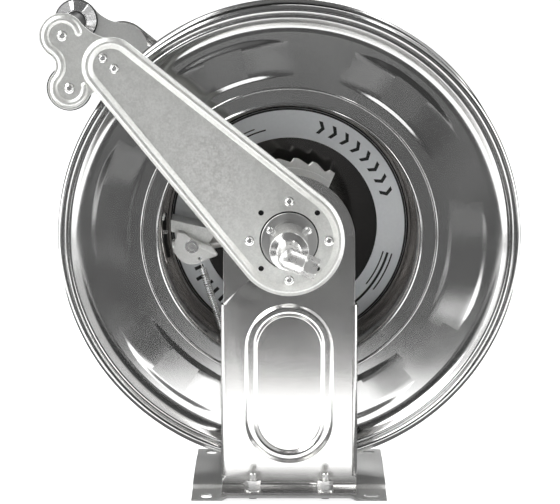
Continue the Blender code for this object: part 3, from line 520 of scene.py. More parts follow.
def socket_screw(name, centre, face, outward, head, shank, length):
    """A button-head screw with a hexagon socket; its head stands outward from face."""
    height, socket, turn = head * 0.62, head * 0.28, math.radians(20)
    under, end = face + outward * GAP, face - outward * length
    profile = [(shank * 0.85, end), (shank, end + outward * 0.6), (shank, under), (head * 0.97, under),
               (head, under + outward * 0.2), (head * 0.98, under + outward * 0.6),
               (head * 0.82, under + outward * 0.85)]
    dome = ((0.36, 0.80), (0.56, 0.75), (0.74, 0.67), (0.88, 0.57), (0.96, 0.48), (0.99, 0.39))
    profile += [(head * share, face + outward * height * lift) for lift, share in dome]
    rows = [(even(radius, 24), depth) for radius, depth in profile]
    rows += [(hexagon(socket, turn), face + outward * height * 0.97),
             (hexagon(socket * 0.96, turn), face + outward * height * 0.55)]
    loops = [ring((centre[0], depth, centre[1]), X, Z, polar) for polar, depth in rows]
    return finished(name, loft(bmesh.new(), loops), "bright", "frame", smooth=40)


def nut(name, centre, start, end, flats, bore, upright=False):
    """A chamfered hexagonal nut with a countersunk bore."""
    corner, inner = flats / math.sqrt(3), flats / 2
    chamfer = (corner - inner) * 0.55
    half = [(even(bore, 48), 0.6), (even(bore + 0.6, 48), 0), (even(inner - 0.2, 48), 0)]
    half += [(hexagon(corner, 0.0, 48, inner + (corner - inner) * step), chamfer * step)
             for step in (0.35, 0.7, 1.0)]
    rows = [(polar, start + depth) for polar, depth in half]
    rows += [(polar, end - depth) for polar, depth in half[::-1]]
    loops = [ring((*centre, depth), X, Y, polar) if upright else
             ring((centre[0], depth, centre[1]), X, Z, polar) for polar, depth in rows]
    return finished(name, loft(bmesh.new(), loops, closed=True), "bright", "frame", smooth=25)


def threaded(start, end, radius, pitch, head):
    """Section of a bar with grooves that look like a thread, from its head to its chamfered end."""
    section = list(head) + [(radius, start)]
    for i in range(int((end - start) / pitch) - 1):
        base = start + pitch * i
        section += [(radius, base + pitch * 0.15), (radius - 0.55, base + pitch * 0.5),
                    (radius, base + pitch * 0.85)]
    return section + [(radius, end - pitch), (radius * 0.8, end), (0, end)]


def stood(bm, spot):
    """Stand a turned shape upright over a spot."""
    bmesh.ops.rotate(bm, verts=bm.verts, cent=(0, 0, 0), matrix=Matrix.Rotation(math.pi / 2, 3, "X"))
    bmesh.ops.translate(bm, verts=bm.verts, vec=(*spot, 0))
    return bm


# ---------------------------------------------------------------- base

def base_height(x, depth):
    """Height of the base sheet's middle: four pressed-down feet round a raised platform."""
    edge = min(depth - BASE_FRONT, BASE_REAR - depth)
    along = ease((edge - FOOT_LENGTH) / JOGGLE)
    across = ease((FOOT_INNER + FOOT_SLOPE - abs(x)) / FOOT_SLOPE)
    return FLOOR + BASE_SHEET / 2 + BASE_LIFT * max(along, across)


def make_base():
    def steps(breaks):
        values = set()
        for start, end, count in breaks:
            values |= {start + (end - start) * i / count for i in range(count + 1)}
        return sorted(values)

    outer = FOOT_INNER + FOOT_SLOPE
    columns = steps([(-BASE_HALF, -outer - 0.5, 3), (-outer, -FOOT_INNER, 8), (-FOOT_INNER, FOOT_INNER, 10),
                     (FOOT_INNER, outer, 8), (outer + 0.5, BASE_HALF, 3)])
    first, last = FOOT_LENGTH, FOOT_LENGTH + JOGGLE
    rows = steps([(BASE_FRONT, BASE_FRONT + first, 5), (BASE_FRONT + first, BASE_FRONT + last, 8),
                  (BASE_FRONT + last, BASE_REAR - last, 12), (BASE_REAR - last, BASE_REAR - first, 8),
                  (BASE_REAR - first, BASE_REAR, 5)])
    bm = bmesh.new()
    top, low = [[[bm.verts.new((x, y, base_height(x, y) + side * BASE_SHEET / 2)) for x in columns]
                 for y in rows] for side in (1, -1)]
    last_row, last_column = len(rows) - 1, len(columns) - 1
    for grid in (top, low):
        for j in range(last_row):
            for i in range(last_column):
                bm.faces.new((grid[j][i], grid[j][i + 1], grid[j + 1][i + 1], grid[j + 1][i]))
    for j in range(last_row):
        for i in (0, last_column):
            bm.faces.new((top[j][i], top[j + 1][i], low[j + 1][i], low[j][i]))
    for i in range(last_column):
        for j in (0, last_row):
            bm.faces.new((top[j][i], top[j][i + 1], low[j][i + 1], low[j][i]))
    base = loose("base_plate_fine", bm)
    cutters = []
    for depth in (BASE_FRONT + 17, BASE_REAR - 17):
        for side, along_x, length, width in ((-1, False, 21, 12), (1, True, 18, 11)):
            half = (length - width) / 2
            shift = Vector((half, 0)) if along_x else Vector((0, half))
            first = -90 if along_x else 0
            middle = Vector((side * 89, depth))
            cutters.append(arc(middle + shift, width / 2, first, first + 180, 12)
                           + arc(middle - shift, width / 2, first + 180, first + 360, 12))
    for depth in (-BOLT_INSET, SPAN - BOLT_INSET):
        cutters += [circle((side * BOLT_X, depth), 4.4, 24) for side in (-1, 1)]
    carve(base, [loose("cutter", loft(bmesh.new(), [[(*p, height) for p in outline]
                                                    for height in (FLOOR - 5, FLOOR + 20)]))
                 for outline in cutters])
    bevelled(base, 0.7, 60)
    settle(applied(base), "base", "frame")


# ---------------------------------------------------------------- pedestals

def stadium(middle, radius, half_length):
    """An upright racetrack outline about the drum's plumb line."""
    return (arc((0, middle + half_length), radius, 0, 180, 20)
            + arc((0, middle - half_length), radius, 180, 360, 20))


def make_pedestal(name, outer_face, inward):
    """Sheet with a rounded top, a pressed racetrack bead, side returns and a bolted foot flange."""
    foot_mid = DECK + GAP + SHEET / 2
    middle = outer_face + inward * SHEET / 2
    bend = 5.0
    side_bend = 4.2
    half, top_radius = 72.5, 70.5
    strip_x = half + 1 - SHEET / 2 - side_bend
    strip_low, strip_high = foot_mid + 13, -70.0
    bm = bmesh.new()

    def vert(x, z, height=0.0):
        return bm.verts.new((x, middle - inward * height, z))

    right = [(half, foot_mid + bend), (half, strip_low - 1.5), (strip_x, strip_low), (strip_x, strip_high),
             (top_radius, strip_high + 1.5)]
    dome = [(p.x, p.y) for p in arc((0, 0), top_radius, 0, 180, 48)]
    left = [(-x, z) for x, z in reversed(right)]
    outer = [vert(x, z) for x, z in right + dome + left]
    holes = [circle((0, 0), 19.6, 40)] + [circle(p, 3.4, 16) for p in ARM_SCREWS]
    holes += [circle(p, 2.9, 16) for p in HOUSING_SCREWS] + [circle(p, 3.0, 20) for p in SPARE_HOLES]
    rims = [outer] + [[vert(p.x, p.y) for p in hole] for hole in holes]

    half_bead = [7.6, 7.2, 6.6, 5.8, 4.8, 3.8, 3.0, 2.2, 1.4]
    rows = []
    for offset in half_bead + [0.0] + [-step for step in reversed(half_bead)]:
        height = 3.0 * ease((7.2 - abs(offset)) / 5.4)
        rows.append([vert(p.x, p.y, height) for p in stadium(-155.3, 41 + offset, 39.2)])
    for first, second in zip(rows, rows[1:]):
        bridge(bm, first, second)
    filled(bm, rims + [rows[0]])
    filled(bm, [rows[-1]])

    def strip(a, b, pairs):
        """Sweep the edge between two vertices through further pairs of points."""
        for p, q in pairs:
            c, d = bm.verts.new(p), bm.verts.new(q)
            bm.faces.new((a, b, d, c))
            a, b = c, d
        return a, b

    quarter = [math.radians(90 * k / 7) for k in range(1, 8)]
    for side in (1, -1):
        line = [(strip_x + side_bend * math.sin(turn), middle + inward * side_bend * (1 - math.cos(turn)))
                for turn in quarter]
        line.append((strip_x + side_bend, outer_face + inward * 17.5))
        first, second = (2, 3) if side == 1 else (-3, -4)
        strip(outer[first], outer[second],
              [((side * x, y, strip_low), (side * x, y, strip_high)) for x, y in line])
    line = [(middle - bend * (1 - math.cos(turn)), foot_mid + bend * (1 - math.sin(turn)))
            for turn in quarter]
    a, b = strip(outer[0], outer[-1], [((half, y, z), (-half, y, z)) for y, z in line])
    flange_rims = [[a, b] + [bm.verts.new((x, outer_face - FOOT_FLANGE, foot_mid)) for x in (-half, half)]]
    for side in (-1, 1):
        hole = circle((side * BOLT_X, outer_face - BOLT_INSET), 4.4, 24)
        flange_rims.append([bm.verts.new((*p, foot_mid)) for p in hole])
    filled(bm, flange_rims)
    return finished(name + "_fine", bm, "sheet", "frame", smooth=36, bevel=0.35, sheet=SHEET)


# ---------------------------------------------------------------- arms and roller brackets

def arm_loop(inset):
    heading = math.degrees(math.atan2(ARM_END.y, ARM_END.x))
    lean = math.degrees(math.asin((ARM_BIG - ARM_SMALL) / ARM_END.length))
    return (arc((0, 0), ARM_BIG - inset, heading + 90 - lean, heading + 270 + lean, 44)
            + arc(ARM_END, ARM_SMALL - inset, heading - 90 + lean, heading + 90 - lean, 26))


def make_arm(name, outer_face, outward, finish):
    """One pressed sheet: a rounded raised border round a flat panel."""
    section = rounded([(0.9, 1.0, 0), (1.0, 3.4, 0.9), (4.3, 6.3, 1.8), (6.3, 6.3, 1.8), (11.6, 1.3, 3.0),
                       (13.4, 1.3, 0)], closed=False, steps=5)
    bm = bmesh.new()
    loops = [at_depth(bm, arm_loop(inset), outer_face + outward * height) for inset, height in section]
    for first, second in zip(loops, loops[1:]):
        bridge(bm, first, second)
    holes = [circle((0, 0), 32, 56)] + [circle(p, 3.4, 16) for p in ARM_SCREWS + list(BRACKET_SCREWS)]
    holes += [circle(p, 3.0, 20) for p in SPARE_HOLES]
    filled(bm, [loops[-1]] + [at_depth(bm, hole, outer_face + outward * 1.3) for hole in holes])
    return finished(name + "_fine", bm, finish, "frame", smooth=36, bevel=0.3, sheet=2.0)


def fillet_centre(first, first_radius, second, second_radius, fillet):
    """The centre of a hollow fillet that touches two circles from outside, on the right of the way."""
    a, b = first_radius + fillet, second_radius + fillet
    between = second - first
    distance = between.length
    along = (a * a - b * b + distance * distance) / (2 * distance)
    aside = math.sqrt(a * a - along * along)
    direction = between / distance
    return first + direction * along + Vector((direction.y, -direction.x)) * aside


def bearing(centre, target):
    """The direction from one point to another in degrees, anticlockwise from +x."""
    return math.degrees(math.atan2(*(target - centre).yx))


def hollow(centre, radius, start_from, end_at, steps):
    """The clockwise arc round a fillet's centre, from facing one point to facing another."""
    start, end = bearing(centre, start_from), bearing(centre, end_at)
    return arc(centre, radius, start, end - 360 if end > start else end, steps)


BRACKET_CIRCLES = ((UPPER_ROLLER, UPPER_LOBE, WAIST_FILLET), (LOWER_ROLLER, LOWER_LOBE, 12.0),
                   (ARM_END, BRACKET_END, 45.0))
BRACKET_FILLETS = [fillet_centre(*lobe[:2], *BRACKET_CIRCLES[(i + 1) % 3][:2], lobe[2])
                   for i, lobe in enumerate(BRACKET_CIRCLES)]


def bracket_outline():
    outline = []
    for i, (centre, radius, fillet) in enumerate(BRACKET_CIRCLES):
        start, end = bearing(centre, BRACKET_FILLETS[i - 1]), bearing(centre, BRACKET_FILLETS[i])
        outline += arc(centre, radius, start, end + 360 if end < start else end, 32)
        outline += hollow(BRACKET_FILLETS[i], fillet, centre, BRACKET_CIRCLES[(i + 1) % 3][0], 14)[1:-1]
    return outline


def bead_loop(offset):
    """A closed loop at a distance from the C-shaped bead's middle line."""
    inset, first, last = 6.6, 12, 368
    waist = BRACKET_FILLETS[0]
    upper_radius, lower_radius, waist_radius = UPPER_LOBE - inset, LOWER_LOBE - inset, WAIST_FILLET + inset

    def side(shift):
        return (arc(UPPER_ROLLER, upper_radius + shift, first, bearing(UPPER_ROLLER, waist) % 360, 26)
                + hollow(waist, waist_radius - shift, UPPER_ROLLER, LOWER_ROLLER, 14)[1:-1]
                + arc(LOWER_ROLLER, lower_radius + shift, bearing(LOWER_ROLLER, waist) % 360, last, 26))

    tail = polar_point(lower_radius, last, LOWER_ROLLER)
    head = polar_point(upper_radius, first, UPPER_ROLLER)
    return (side(offset) + arc(tail, offset, last, last + 180, 8)[1:-1] + side(-offset)[::-1]
            + arc(head, offset, first + 180, first + 360, 8)[1:-1])


def make_bracket(name, outer_face, inward, finish):
    """Three-lobed plate with a pressed C-shaped bead round the rollers' side."""
    middle = outer_face + inward * SHEET / 2
    bm = bmesh.new()
    holes = [circle(centre, 4.4, 20) for centre in (UPPER_ROLLER, LOWER_ROLLER)]
    holes += [circle(centre, 3.4, 20) for centre in BRACKET_SCREWS]
    rims = [at_depth(bm, line, middle) for line in [bracket_outline()] + holes]
    rows = []
    for offset in (4.4, 4.0, 3.5, 2.9, 2.2, 1.5, 0.9, 0.5):
        height = 2.4 * ease((4.0 - offset) / 3.3)
        rows.append(at_depth(bm, bead_loop(offset), middle - inward * height))
    for first, second in zip(rows, rows[1:]):
        bridge(bm, first, second)
    filled(bm, [rows[-1]])
    filled(bm, rims + [rows[0]])
    return finished(name + "_fine", bm, finish, "frame", smooth=40, bevel=0.5, sheet=SHEET)


def make_frame_fasteners():
    # Painted shade: a black disc behind each spare hole makes the hole read dark.
    for number, spot in enumerate(SPARE_HOLES, 1):
        shade_disc = [(0, SHEET + 0.1, 0), (4.6, SHEET + 0.1, 0), (4.6, SHEET + 1.6, 0.6), (0, SHEET + 1.6, 0)]
        lathe(f"hole_shade_disc_{number}", shade_disc, "rubber", "frame", 24, spot)
    for side, face, outward in (("front", -2.3, -1), ("rear", SPAN + 2.3, 1)):
        spots = [(f"arm_screw_{side}_{where}", spot)
                 for where, spot in zip(("top", "right", "bottom", "left"), ARM_SCREWS)]
        spots += [(f"bracket_screw_{side}_{where}", spot)
                  for where, spot in zip(("upper", "lower"), BRACKET_SCREWS)]
        for name, spot in spots:
            socket_screw(name + "_fine", spot, face, outward, 5.3, 3.0, 8)
    for number, spot in enumerate(HOUSING_SCREWS, 1):
        socket_screw(f"bearing_screw_{number}_fine", spot, -3.3, -1, 4.4, 2.5, 8)
    for where, spot in (("upper", UPPER_ROLLER), ("lower", LOWER_ROLLER)):
        socket_screw(f"roller_bolt_{where}_fine", spot, 0, -1, 5.8, 4.0, SPAN + 9)
        nut(f"roller_nut_{where}_fine", spot, SPAN + GAP, SPAN + 6.8, 13, 4.4)
    under, top = DECK - BASE_SHEET - GAP, DECK + GAP + SHEET
    head = [(0, under - 2.0), (4.6, under - 2.0), (6.0, under - 1.2), (6.5, under), (4.0, under)]
    stud = threaded(DECK - 2.5, DECK + 22.5, 3.7, 1.0, head)
    ring_section = rounded([(4.4, top + 0.1, 0.2), (8.9, top + 0.1, 0.3), (8.9, top + 1.7, 0.3),
                            (4.4, top + 1.7, 0.2)], True, 2)
    for side, depth in (("front", -BOLT_INSET), ("rear", SPAN - BOLT_INSET)):
        for hand, sign in (("left", -1), ("right", 1)):
            spot, where = (sign * BOLT_X, depth), f"{side}_{hand}"
            finished(f"base_bolt_{where}_fine", stood(turned(stud, 32), spot), "bright", "frame", 40)
            finished(f"base_washer_{where}", stood(turned(ring_section, 40), spot), "bright", "frame")
            nut(f"base_nut_{where}_fine", spot, top + 1.9, top + 11.9, 14.5, 3.9, upright=True)


# ---------------------------------------------------------------- drum

def ramp(value):
    """A straight ramp from 0 to 1 with softly rounded ends."""
    value = min(max(value, 0.0), 1.0)
    return 0.65 * value + 0.35 * ease(value)


def pad_height(radius, angle):
    """Height of the six pressed pads at a radius and an angle in degrees clockwise from the top."""
    away = (angle - PAD_CENTRE + 30) % 60 - 30
    middle = (PAD_INNER + PAD_OUTER) / 2
    across = abs(math.radians(away)) * min(radius, middle + 8) - math.radians(PAD_HALF) * middle
    along = abs(radius - middle) - (PAD_OUTER - PAD_INNER) / 2
    corner = 4.0
    a, b = across * 0.14 + corner, along + corner
    distance = min(max(a, b), 0) + math.hypot(max(a, 0), max(b, 0)) - corner
    return PAD_HEIGHT * ramp(0.5 - distance / 5.8)


def flange_line(web, facing):
    """Middle line of a flange from the drum's opening to its rolled rim, dense where the pads lie."""
    corners = [(141.9, -0.2, 0), (142.0, -0.9, 0.5), (142.7, -1.5, 0.6), (144.2, -2.2, 0.8),
               (158.5, -2.2, 0.4), (158.9, 0.8, 0.55), (160.1, 0.8, 0.55), (160.8, 0, 0.4), (227, 0, 20.0),
               (236.9, 8.4, 2.2), (240.4, 5.8, 0.8)]
    line = rounded([(radius, web + facing * rise, bend) for radius, rise, bend in corners],
                   closed=False, steps=6)
    bead, centre_r, centre_y = 4.4, FLANGE_RADIUS - THIN_SHEET / 2 - 4.4, web + facing * 6.4
    for k in range(17):
        turn = math.radians(178 - 258 * k / 16)
        line.append(Vector((centre_r + bead * math.cos(turn), centre_y + facing * bead * math.sin(turn))))
    dense = [line[0]]
    for point in line[1:]:
        last = dense[-1]
        if 163.5 < (last.x + point.x) / 2 < 223 and point.x - last.x > 5:
            start, end = last.x, point.x
            stops = [166, 169]
            for middle in (PAD_INNER, PAD_OUTER):
                stops += [middle - 3.2 + 0.8 * k for k in range(9)]
            stops += [181, 186, 192, 198, 204, 217]
            dense += [Vector((r, point.y)) for r in sorted(stops) if start + 0.5 < r < end - 0.5]
        dense.append(point)
    return dense


def make_flange(name, web, facing):
    section = thicken(flange_line(web, facing), THIN_SHEET)
    angles = []
    for sector in range(6):
        base = PAD_CENTRE + 60 * sector
        for away in range(-30, 30):
            if abs(abs(away) - PAD_HALF) < 3:
                angles += [base + away + s for s in (0, 0.33, 0.67)]
            elif away % 2 == 0:
                angles.append(base + away)
    bm = bmesh.new()
    loops = []
    for angle in angles:
        turn = math.radians(angle)
        loop = []
        for radius, depth in section:
            lift = facing * pad_height(radius, angle) if 165 < radius < 222 else 0.0
            loop.append((radius * math.sin(turn), depth + lift, radius * math.cos(turn)))
        loops.append(loop)
    loft(bm, loops, closed=True)
    return finished(name + "_fine", bm, "spun", "drum", smooth=40)


def make_shell():
    """The winding cylinder with its small lips, the slot for the hose, a bar across the slot and two rivets
    above it.
    """
    front, rear = FRONT_WEB + 3.8, REAR_WEB - 3.8
    lip = SHELL_RADIUS + 6
    line = rounded([(lip, front, 0), (SHELL_RADIUS, front, 2.0), (SHELL_RADIUS, rear, 2.0), (lip, rear, 0)],
                   closed=False)
    shell = loose("drum_shell_fine", turned(thicken(line, THIN_SHEET), 180))
    outline = rounded([(75, -42, 4), (118, -42, 4), (118, 8, 4), (75, 8, 4)])
    carve(shell, [loose("slot", loft(bmesh.new(), [[(x, *p) for p in outline] for x in (-160, -120)]))])
    settle(shell, "case", "drum", smooth=30)
    bar = [(-140.0, -9.6), (-138.6, -9.6), (-138.6, -12.6), (-140.0, -12.6)]
    finished("slot_bar", loft(bmesh.new(), [[(x, depth, z) for x, z in bar] for depth in (73.5, 119.5)]),
             "bright", "drum", bevel=0.3)
    for number, depth in enumerate((84, 108), 1):
        loops = [ring((-139.0 + lift, depth, 13.0), Y, Z, even(radius, 20))
                 for lift, radius in ((0.2, 3.2), (1.2, 3.0), (2.2, 2.2), (2.7, 1.0))]
        finished(f"shell_rivet_{number}", loft(bmesh.new(), loops), "bright", "drum", smooth=50)


def make_case():
    back = LID_DEPTH + 2
    disc = [(13.2, LID_DEPTH, 0), (131.0, LID_DEPTH, 0.4), (131.0, back, 0), (13.2, back, 0)]
    lathe("spring_case_lid_fine", disc, "lid", "drum", 144)
    rim = [(131.2, LID_DEPTH + 0.2, 0.4), (132.2, LID_DEPTH - 0.9, 0.6), (134.0, LID_DEPTH - 0.9, 0.6),
           (135.2, LID_DEPTH + 0.3, 0.8), (147, LID_DEPTH, 3), (157.5, LID_DEPTH, 0.6), (157.5, back, 0.6),
           (131.2, back, 0)]
    lathe("spring_case_lid_rim", rim, "case", "drum", 144, stands_for=("spring_case_lid",))
    lip = back + GAP + THIN_SHEET / 2
    line = rounded([(CASE_RADIUS + 8, lip, 0), (CASE_RADIUS, lip, 2.0), (CASE_RADIUS, CASE_REAR - 1, 8.0),
                    (92, CASE_REAR - 1, 2.5), (86, CASE_REAR - 4.5, 2.5), (44, CASE_REAR - 4.5, 2.5),
                    (38, CASE_REAR - 1, 2.5), (17, CASE_REAR - 1, 0)], closed=False, steps=4)
    finished("spring_case_fine", turned(thicken(line, THIN_SHEET), 144), "case", "drum", 40)
    lathe("case_bush_fine", [(14.3, CASE_REAR - 8, 0), (16.2, CASE_REAR - 8, 0), (16.2, CASE_REAR + 2, 0.8),
                             (14.3, CASE_REAR + 2, 0.4)], "plastic", "drum", 48)
    # Painted shade: a thin black strip on the lid rim stands for the hose slot's dark opening.
    slot = arc_band(136.4, 140.2, 254.6, 275.2, 20)
    plate("lid_slot", slot, [], LID_DEPTH - 0.35, 0.3, "rubber", "drum", 0.05)
    tab = arc_band(135.4, 140.8, 265.6, 267.4, 2)
    plate("lid_slot_tab", tab, [], LID_DEPTH - 1.7, 1.3, "bright", "drum", 0.3)
    turns, steps = 5, 40
    inner_side, outer_side = [[polar_point(22 + 98 * i / (turns * steps) + shift, 360 * i / steps)
                               for i in range(turns * steps + 1)] for shift in (-0.6, 0.6)]
    plate("main_spring_fine", inner_side + outer_side[::-1], [], 140, 45, "oiled", "drum", 0.2)
    for number in range(8):
        spot = clockwise(136.2, 22.5 + 45 * number)
        section = [(0, lip + 0.9), (3.4, lip + 0.9), (3.2, lip + 2.1), (2.2, lip + 3.0), (0, lip + 3.3)]
        finished(f"case_rivet_{number + 1}", turned(section, 20, spot), "bright", "drum", smooth=50)


def joined_marks(name, outlines):
    """Printed marks on the label ring: thin closed shapes in one piece."""
    bm = bmesh.new()
    for outline in outlines:
        loft(bm, [[(p[0], LABEL_FACE - raised, p[1]) for p in outline] for raised in (0.12, 0.01)])
    return finished(name, bm, "ink", "drum")


def arc_band(inner, outer, start, end, steps):
    return ([clockwise(outer, start + (end - start) * k / steps) for k in range(steps + 1)]
            + [clockwise(inner, end + (start - end) * k / steps) for k in range(steps + 1)])


def chevron(angle, radius, width, height, stroke):
    """The outline of an arrowhead stroke that points clockwise."""
    points = [(-width / 2, height / 2), (-width / 2 + stroke, height / 2), (width / 2, 0),
              (-width / 2 + stroke, -height / 2), (-width / 2, -height / 2), (width / 2 - stroke, 0)]
    return [clockwise(radius + up, angle + math.degrees(along / radius)) for along, up in points]


def make_label():
    back = LABEL_FACE + 0.8
    band = [(97, LABEL_FACE, 0.1), (130, LABEL_FACE, 0.1), (130, back, 0), (97, back, 0)]
    lathe("label_ring_fine", band, "label", "drum", 144)
    border = [(127.6, LABEL_FACE - 0.15, 0), (129.8, LABEL_FACE - 0.15, 0), (129.8, LABEL_FACE - 0.01, 0),
              (127.6, LABEL_FACE - 0.01, 0)]
    lathe("label_border", border, "ink", "drum", 144)
    joined_marks("label_chevrons", [chevron(18 + 7.6 * k, 113, 8.5, 14, 4.2) for k in range(8)])
    arrow_ring = [arc_band(112, 114.6, 106, 140, 16)]
    arrow_ring.append([clockwise(120, 140), clockwise(113.3, 149), clockwise(106.6, 140)])
    arrow_ring += [arc_band(117.5, 119, 106, 128, 10), arc_band(107.5, 109, 106, 128, 10)]
    joined_marks("label_turn_arrow", arrow_ring)
    joined_marks("label_ticks", [arc_band(106, 116 if k % 2 else 120, 216 + 5.5 * k, 217.9 + 5.5 * k, 2)
                                 for k in range(8)])
    joined_marks("label_top_arc", [arc_band(107.5, 109, -48, -14, 16), arc_band(112, 113.2, -44, -20, 12)])


def make_shaft():
    hub = LID_DEPTH - GAP
    section = [(8, -18, 0.6), (12.5, -18, 0.8), (12.5, hub - 3, 0.5), (45, hub - 3, 0.8), (45, hub, 0.2),
               (0, hub, 0), (0, 112, 0), (8, 112, 0)]
    lathe("drum_shaft_fine", section, "bright", "drum", 64)
    start, end = Vector((-13.4, 100, -3.4)), Vector((-128, 100, -21))
    along = (end - start).normalized()
    length = (end - start).length
    profile = [(5.2, 0), (8.1, 0), (8.5, 0.5), (8.5, length - 34)]
    for barb in range(4):
        base = length - 32 + barb * 8
        profile += [(7.6, base), (8.5, base + 6.2), (8.4, base + 7)]
    profile += [(7.2, length), (5.2, length)]
    loops = [ring(start + along * distance, Y, along.cross(Vector(Y)), even(radius, 32))
             for radius, distance in profile]
    finished("hose_outlet_pipe_fine", loft(bmesh.new(), loops, closed=True), "plated", "drum", smooth=30)


# ---------------------------------------------------------------- bearing, ratchet and pawl

def make_housing():
    gasket = [(19.3, -GAP + 0.02, 0), (31.7, -GAP + 0.02, 0), (31.7, -0.02, 0), (19.3, -0.02, 0)]
    lathe("bearing_gasket", gasket, "rubber", "frame", 64)
    seat, end = RATCHET - GAP, RATCHET + 4
    section = [(16.5, -3.3, 0.5), (19.5, -3.3, 0), (29.6, -3.3, 0), (30.3, -2.6, 0.4), (30.3, -GAP, 0.2),
               (19, -GAP, 0.3), (19, seat, 0.3), (16, seat, 0), (16, end, 0.4), (13.5, end, 0.4),
               (13.5, 24, 0.3), (16.5, 24, 0)]
    lathe("front_bearing_housing_fine", section, "turned", "frame", 96)
    bearing_section = [(12.8, 2, 0.3), (16.2, 2, 0.6), (16.2, 23.7, 0.6), (12.8, 23.7, 0.3)]
    lathe("front_bearing_fine", bearing_section, "plastic", "frame", 64)
    first_tip, pitch, teeth, crest = 56.6, 15, 8, 80.8
    outline = arc((0, 0), crest, 52.1, first_tip - 0.8, 6) + arc((0, 0), crest, first_tip - 0.4, first_tip, 1)
    profile = ((80.4, 0.35), (77.0, 2.1), (76.3, 2.9), (80.3, 10.6), (crest, 12.0), (crest, pitch))
    for tooth in range(teeth):
        outline += [polar_point(radius, first_tip + pitch * tooth + ahead)
                    for radius, ahead in (profile if tooth < teeth - 1 else profile[:3])]
    last = first_tip + pitch * (teeth - 1) + 4
    outline += arc((0, 0), 58, last + 4, 46.1 + 360, 72)
    plate("ratchet_sector_fine", outline, [circle((0, 0), 16.4, 48)], RATCHET, 4, "pale", "frame", 1.1)
    step = arc((0, 0), 70.4, 50.4, 160.5, 60) + arc((0, 0), 59.5, 162.5, 48.4, 60)
    plate("ratchet_step", step, [], RATCHET - 1.6, 1.5, "pale", "frame", 0.7)


def make_arbor_side():
    end = 262
    bm = turned(threaded(SPAN + 3.5, end, 14.0, 2.0, [(0, 140), (13.2, 140), (14, 141)]), 64)
    finished("spring_arbor_fine", bm, "bright", "frame", 40)
    inner = 14.4
    flange = [(inner, 208, 0.3), (19, 208, 0.5), (19, SPAN + GAP, 0.3), (31, SPAN + GAP, 0.3),
              (31, SPAN + 3.3, 0.8), (inner, SPAN + 3.3, 0.3)]
    lathe("rear_arbor_flange_fine", flange, "satin", "frame", 96)
    nut("arbor_nut_fine", (0, 0), SPAN + 3.7, SPAN + 17, 40, inner + 0.1)


def make_pawl_side():
    depth = RATCHET + 6.7
    left, right = Vector((-129.5, 12.0)), Vector((-81, 1))
    outline = [left, (-129.5, -1.0), (-124.0, -2.5), *arc(PAWL_PIVOT, 15.5, 172, 350, 24),
               (-84, -8), (-81, -4), right]
    plate("pawl_bracket_fine", outline, [circle(PAWL_PIVOT, 4.4, 32)], depth, 2, "satin", "drum", 0.3)
    slope = (right - left).normalized()
    down = Vector((slope.y, -slope.x))
    near, far = left + slope * 0.6, right - slope * 0.6
    strip = [near - down * 0.1, far - down * 0.1, far + down * 1.8, near + down * 1.8]
    plate("pawl_bracket_shelf", strip, [], depth + 1.9, LABEL_FACE - 2.3 - depth, "base", "drum", 0.2)
    groove = RATCHET - 2
    back = depth + 2
    pin = [(0, groove - 1.6, 0), (3.6, groove - 1.6, 0.4), (4, groove - 1.2, 0), (4, groove, 0),
           (3.2, groove, 0), (3.2, groove + 1.3, 0), (4, groove + 1.3, 0), (4, back + GAP, 0),
           (6.5, back + GAP, 0.4), (6.5, back + 3, 0.6), (0, back + 3, 0)]
    lathe("pawl_pin_fine", pin, "bright", "drum", 40, PAWL_PIVOT)
    clip = arc(PAWL_PIVOT, 6.9, -60, 240, 30) + arc(PAWL_PIVOT, 3.5, 240, -60, 30)
    plate("pawl_circlip_fine", clip, [], groove + 0.2, 0.9, "bright", "drum", 0.2)
    near, far = groove + 1.4, groove + 1.9
    lathe("pawl_washer", [(4.3, near, 0.1), (7.6, near, 0.2), (7.6, far, 0.2), (4.3, far, 0.1)],
          "bright", "drum", 40, PAWL_PIVOT)
    post = [(0, 62, 0), (3, 62, 0.6), (3, LID_DEPTH - GAP, 0), (0, LID_DEPTH - GAP, 0)]
    lathe("pawl_spring_post_fine", post, "bright", "drum", 32, SPRING_POST)

    nose = [(26.6, -10.8), (27.7, -9.5), (28.2, -8.6), (22.0, 0.5), (8.6, 4.0), (-8.0, 14.5), (-15.5, 15.4)]
    outline = arc(PAWL_PIVOT, 20, 152, 306, 40) + [PAWL_PIVOT + Vector(p) for p in nose]
    holes = [circle(PAWL_PIVOT, 4.4, 32), circle(PAWL_PIVOT + Vector((9.0, -13.5)), 1.8, 16)]
    plate("pawl_fine", outline, holes, RATCHET, 4, "pale", "pawl", 0.7)
    rib = [(26.8, -7.2), (22.6, -0.9), (8.8, 2.6), (-6.6, 12.6), (-3.4, 8.4), (5.8, 5.4), (7.4, -0.8),
           (24.6, -8.4)]
    plate("pawl_rib", [PAWL_PIVOT + Vector(p) for p in rib], [], RATCHET - 0.9, 1.0, "pale", "pawl", 0.45)
    make_pawl_spring()


def make_pawl_spring():
    """A close-wound coil with a hook at each end."""
    depth = 66.0
    eye = PAWL_PIVOT + Vector((10.6, -20.4))
    start, hook = Vector((eye.x, depth, eye.y)), Vector((SPRING_POST.x, depth, SPRING_POST.y))
    along = (hook - start).normalized()
    start, end = start + along * 1.5, hook - along * 5.5
    side = Vector(Y)
    lift = along.cross(side)
    turns, steps, radius = 34, 14, 3.5
    points = [start - along * 4.0 + side * 1.5, start - along * 2.2 + side * 0.8, start - along * 1.0]
    count = turns * steps
    for i in range(count + 1):
        angle = 2 * math.pi * i / steps
        swell = ease(i / steps) * ease((count - i) / steps)
        spin = (side * math.cos(angle) + lift * math.sin(angle)) * radius * max(swell, 0.12)
        points.append(start.lerp(end, i / count) + spin)
    for k in range(9):
        angle = math.radians(-150 + 300 * k / 8)
        points.append(hook + (along * -math.cos(angle) + lift * math.sin(angle)) * 4.1)
    sweep("pawl_spring_fine", points, 0.62, "wire", "drum", 8)


# ---------------------------------------------------------------- inlet swivel

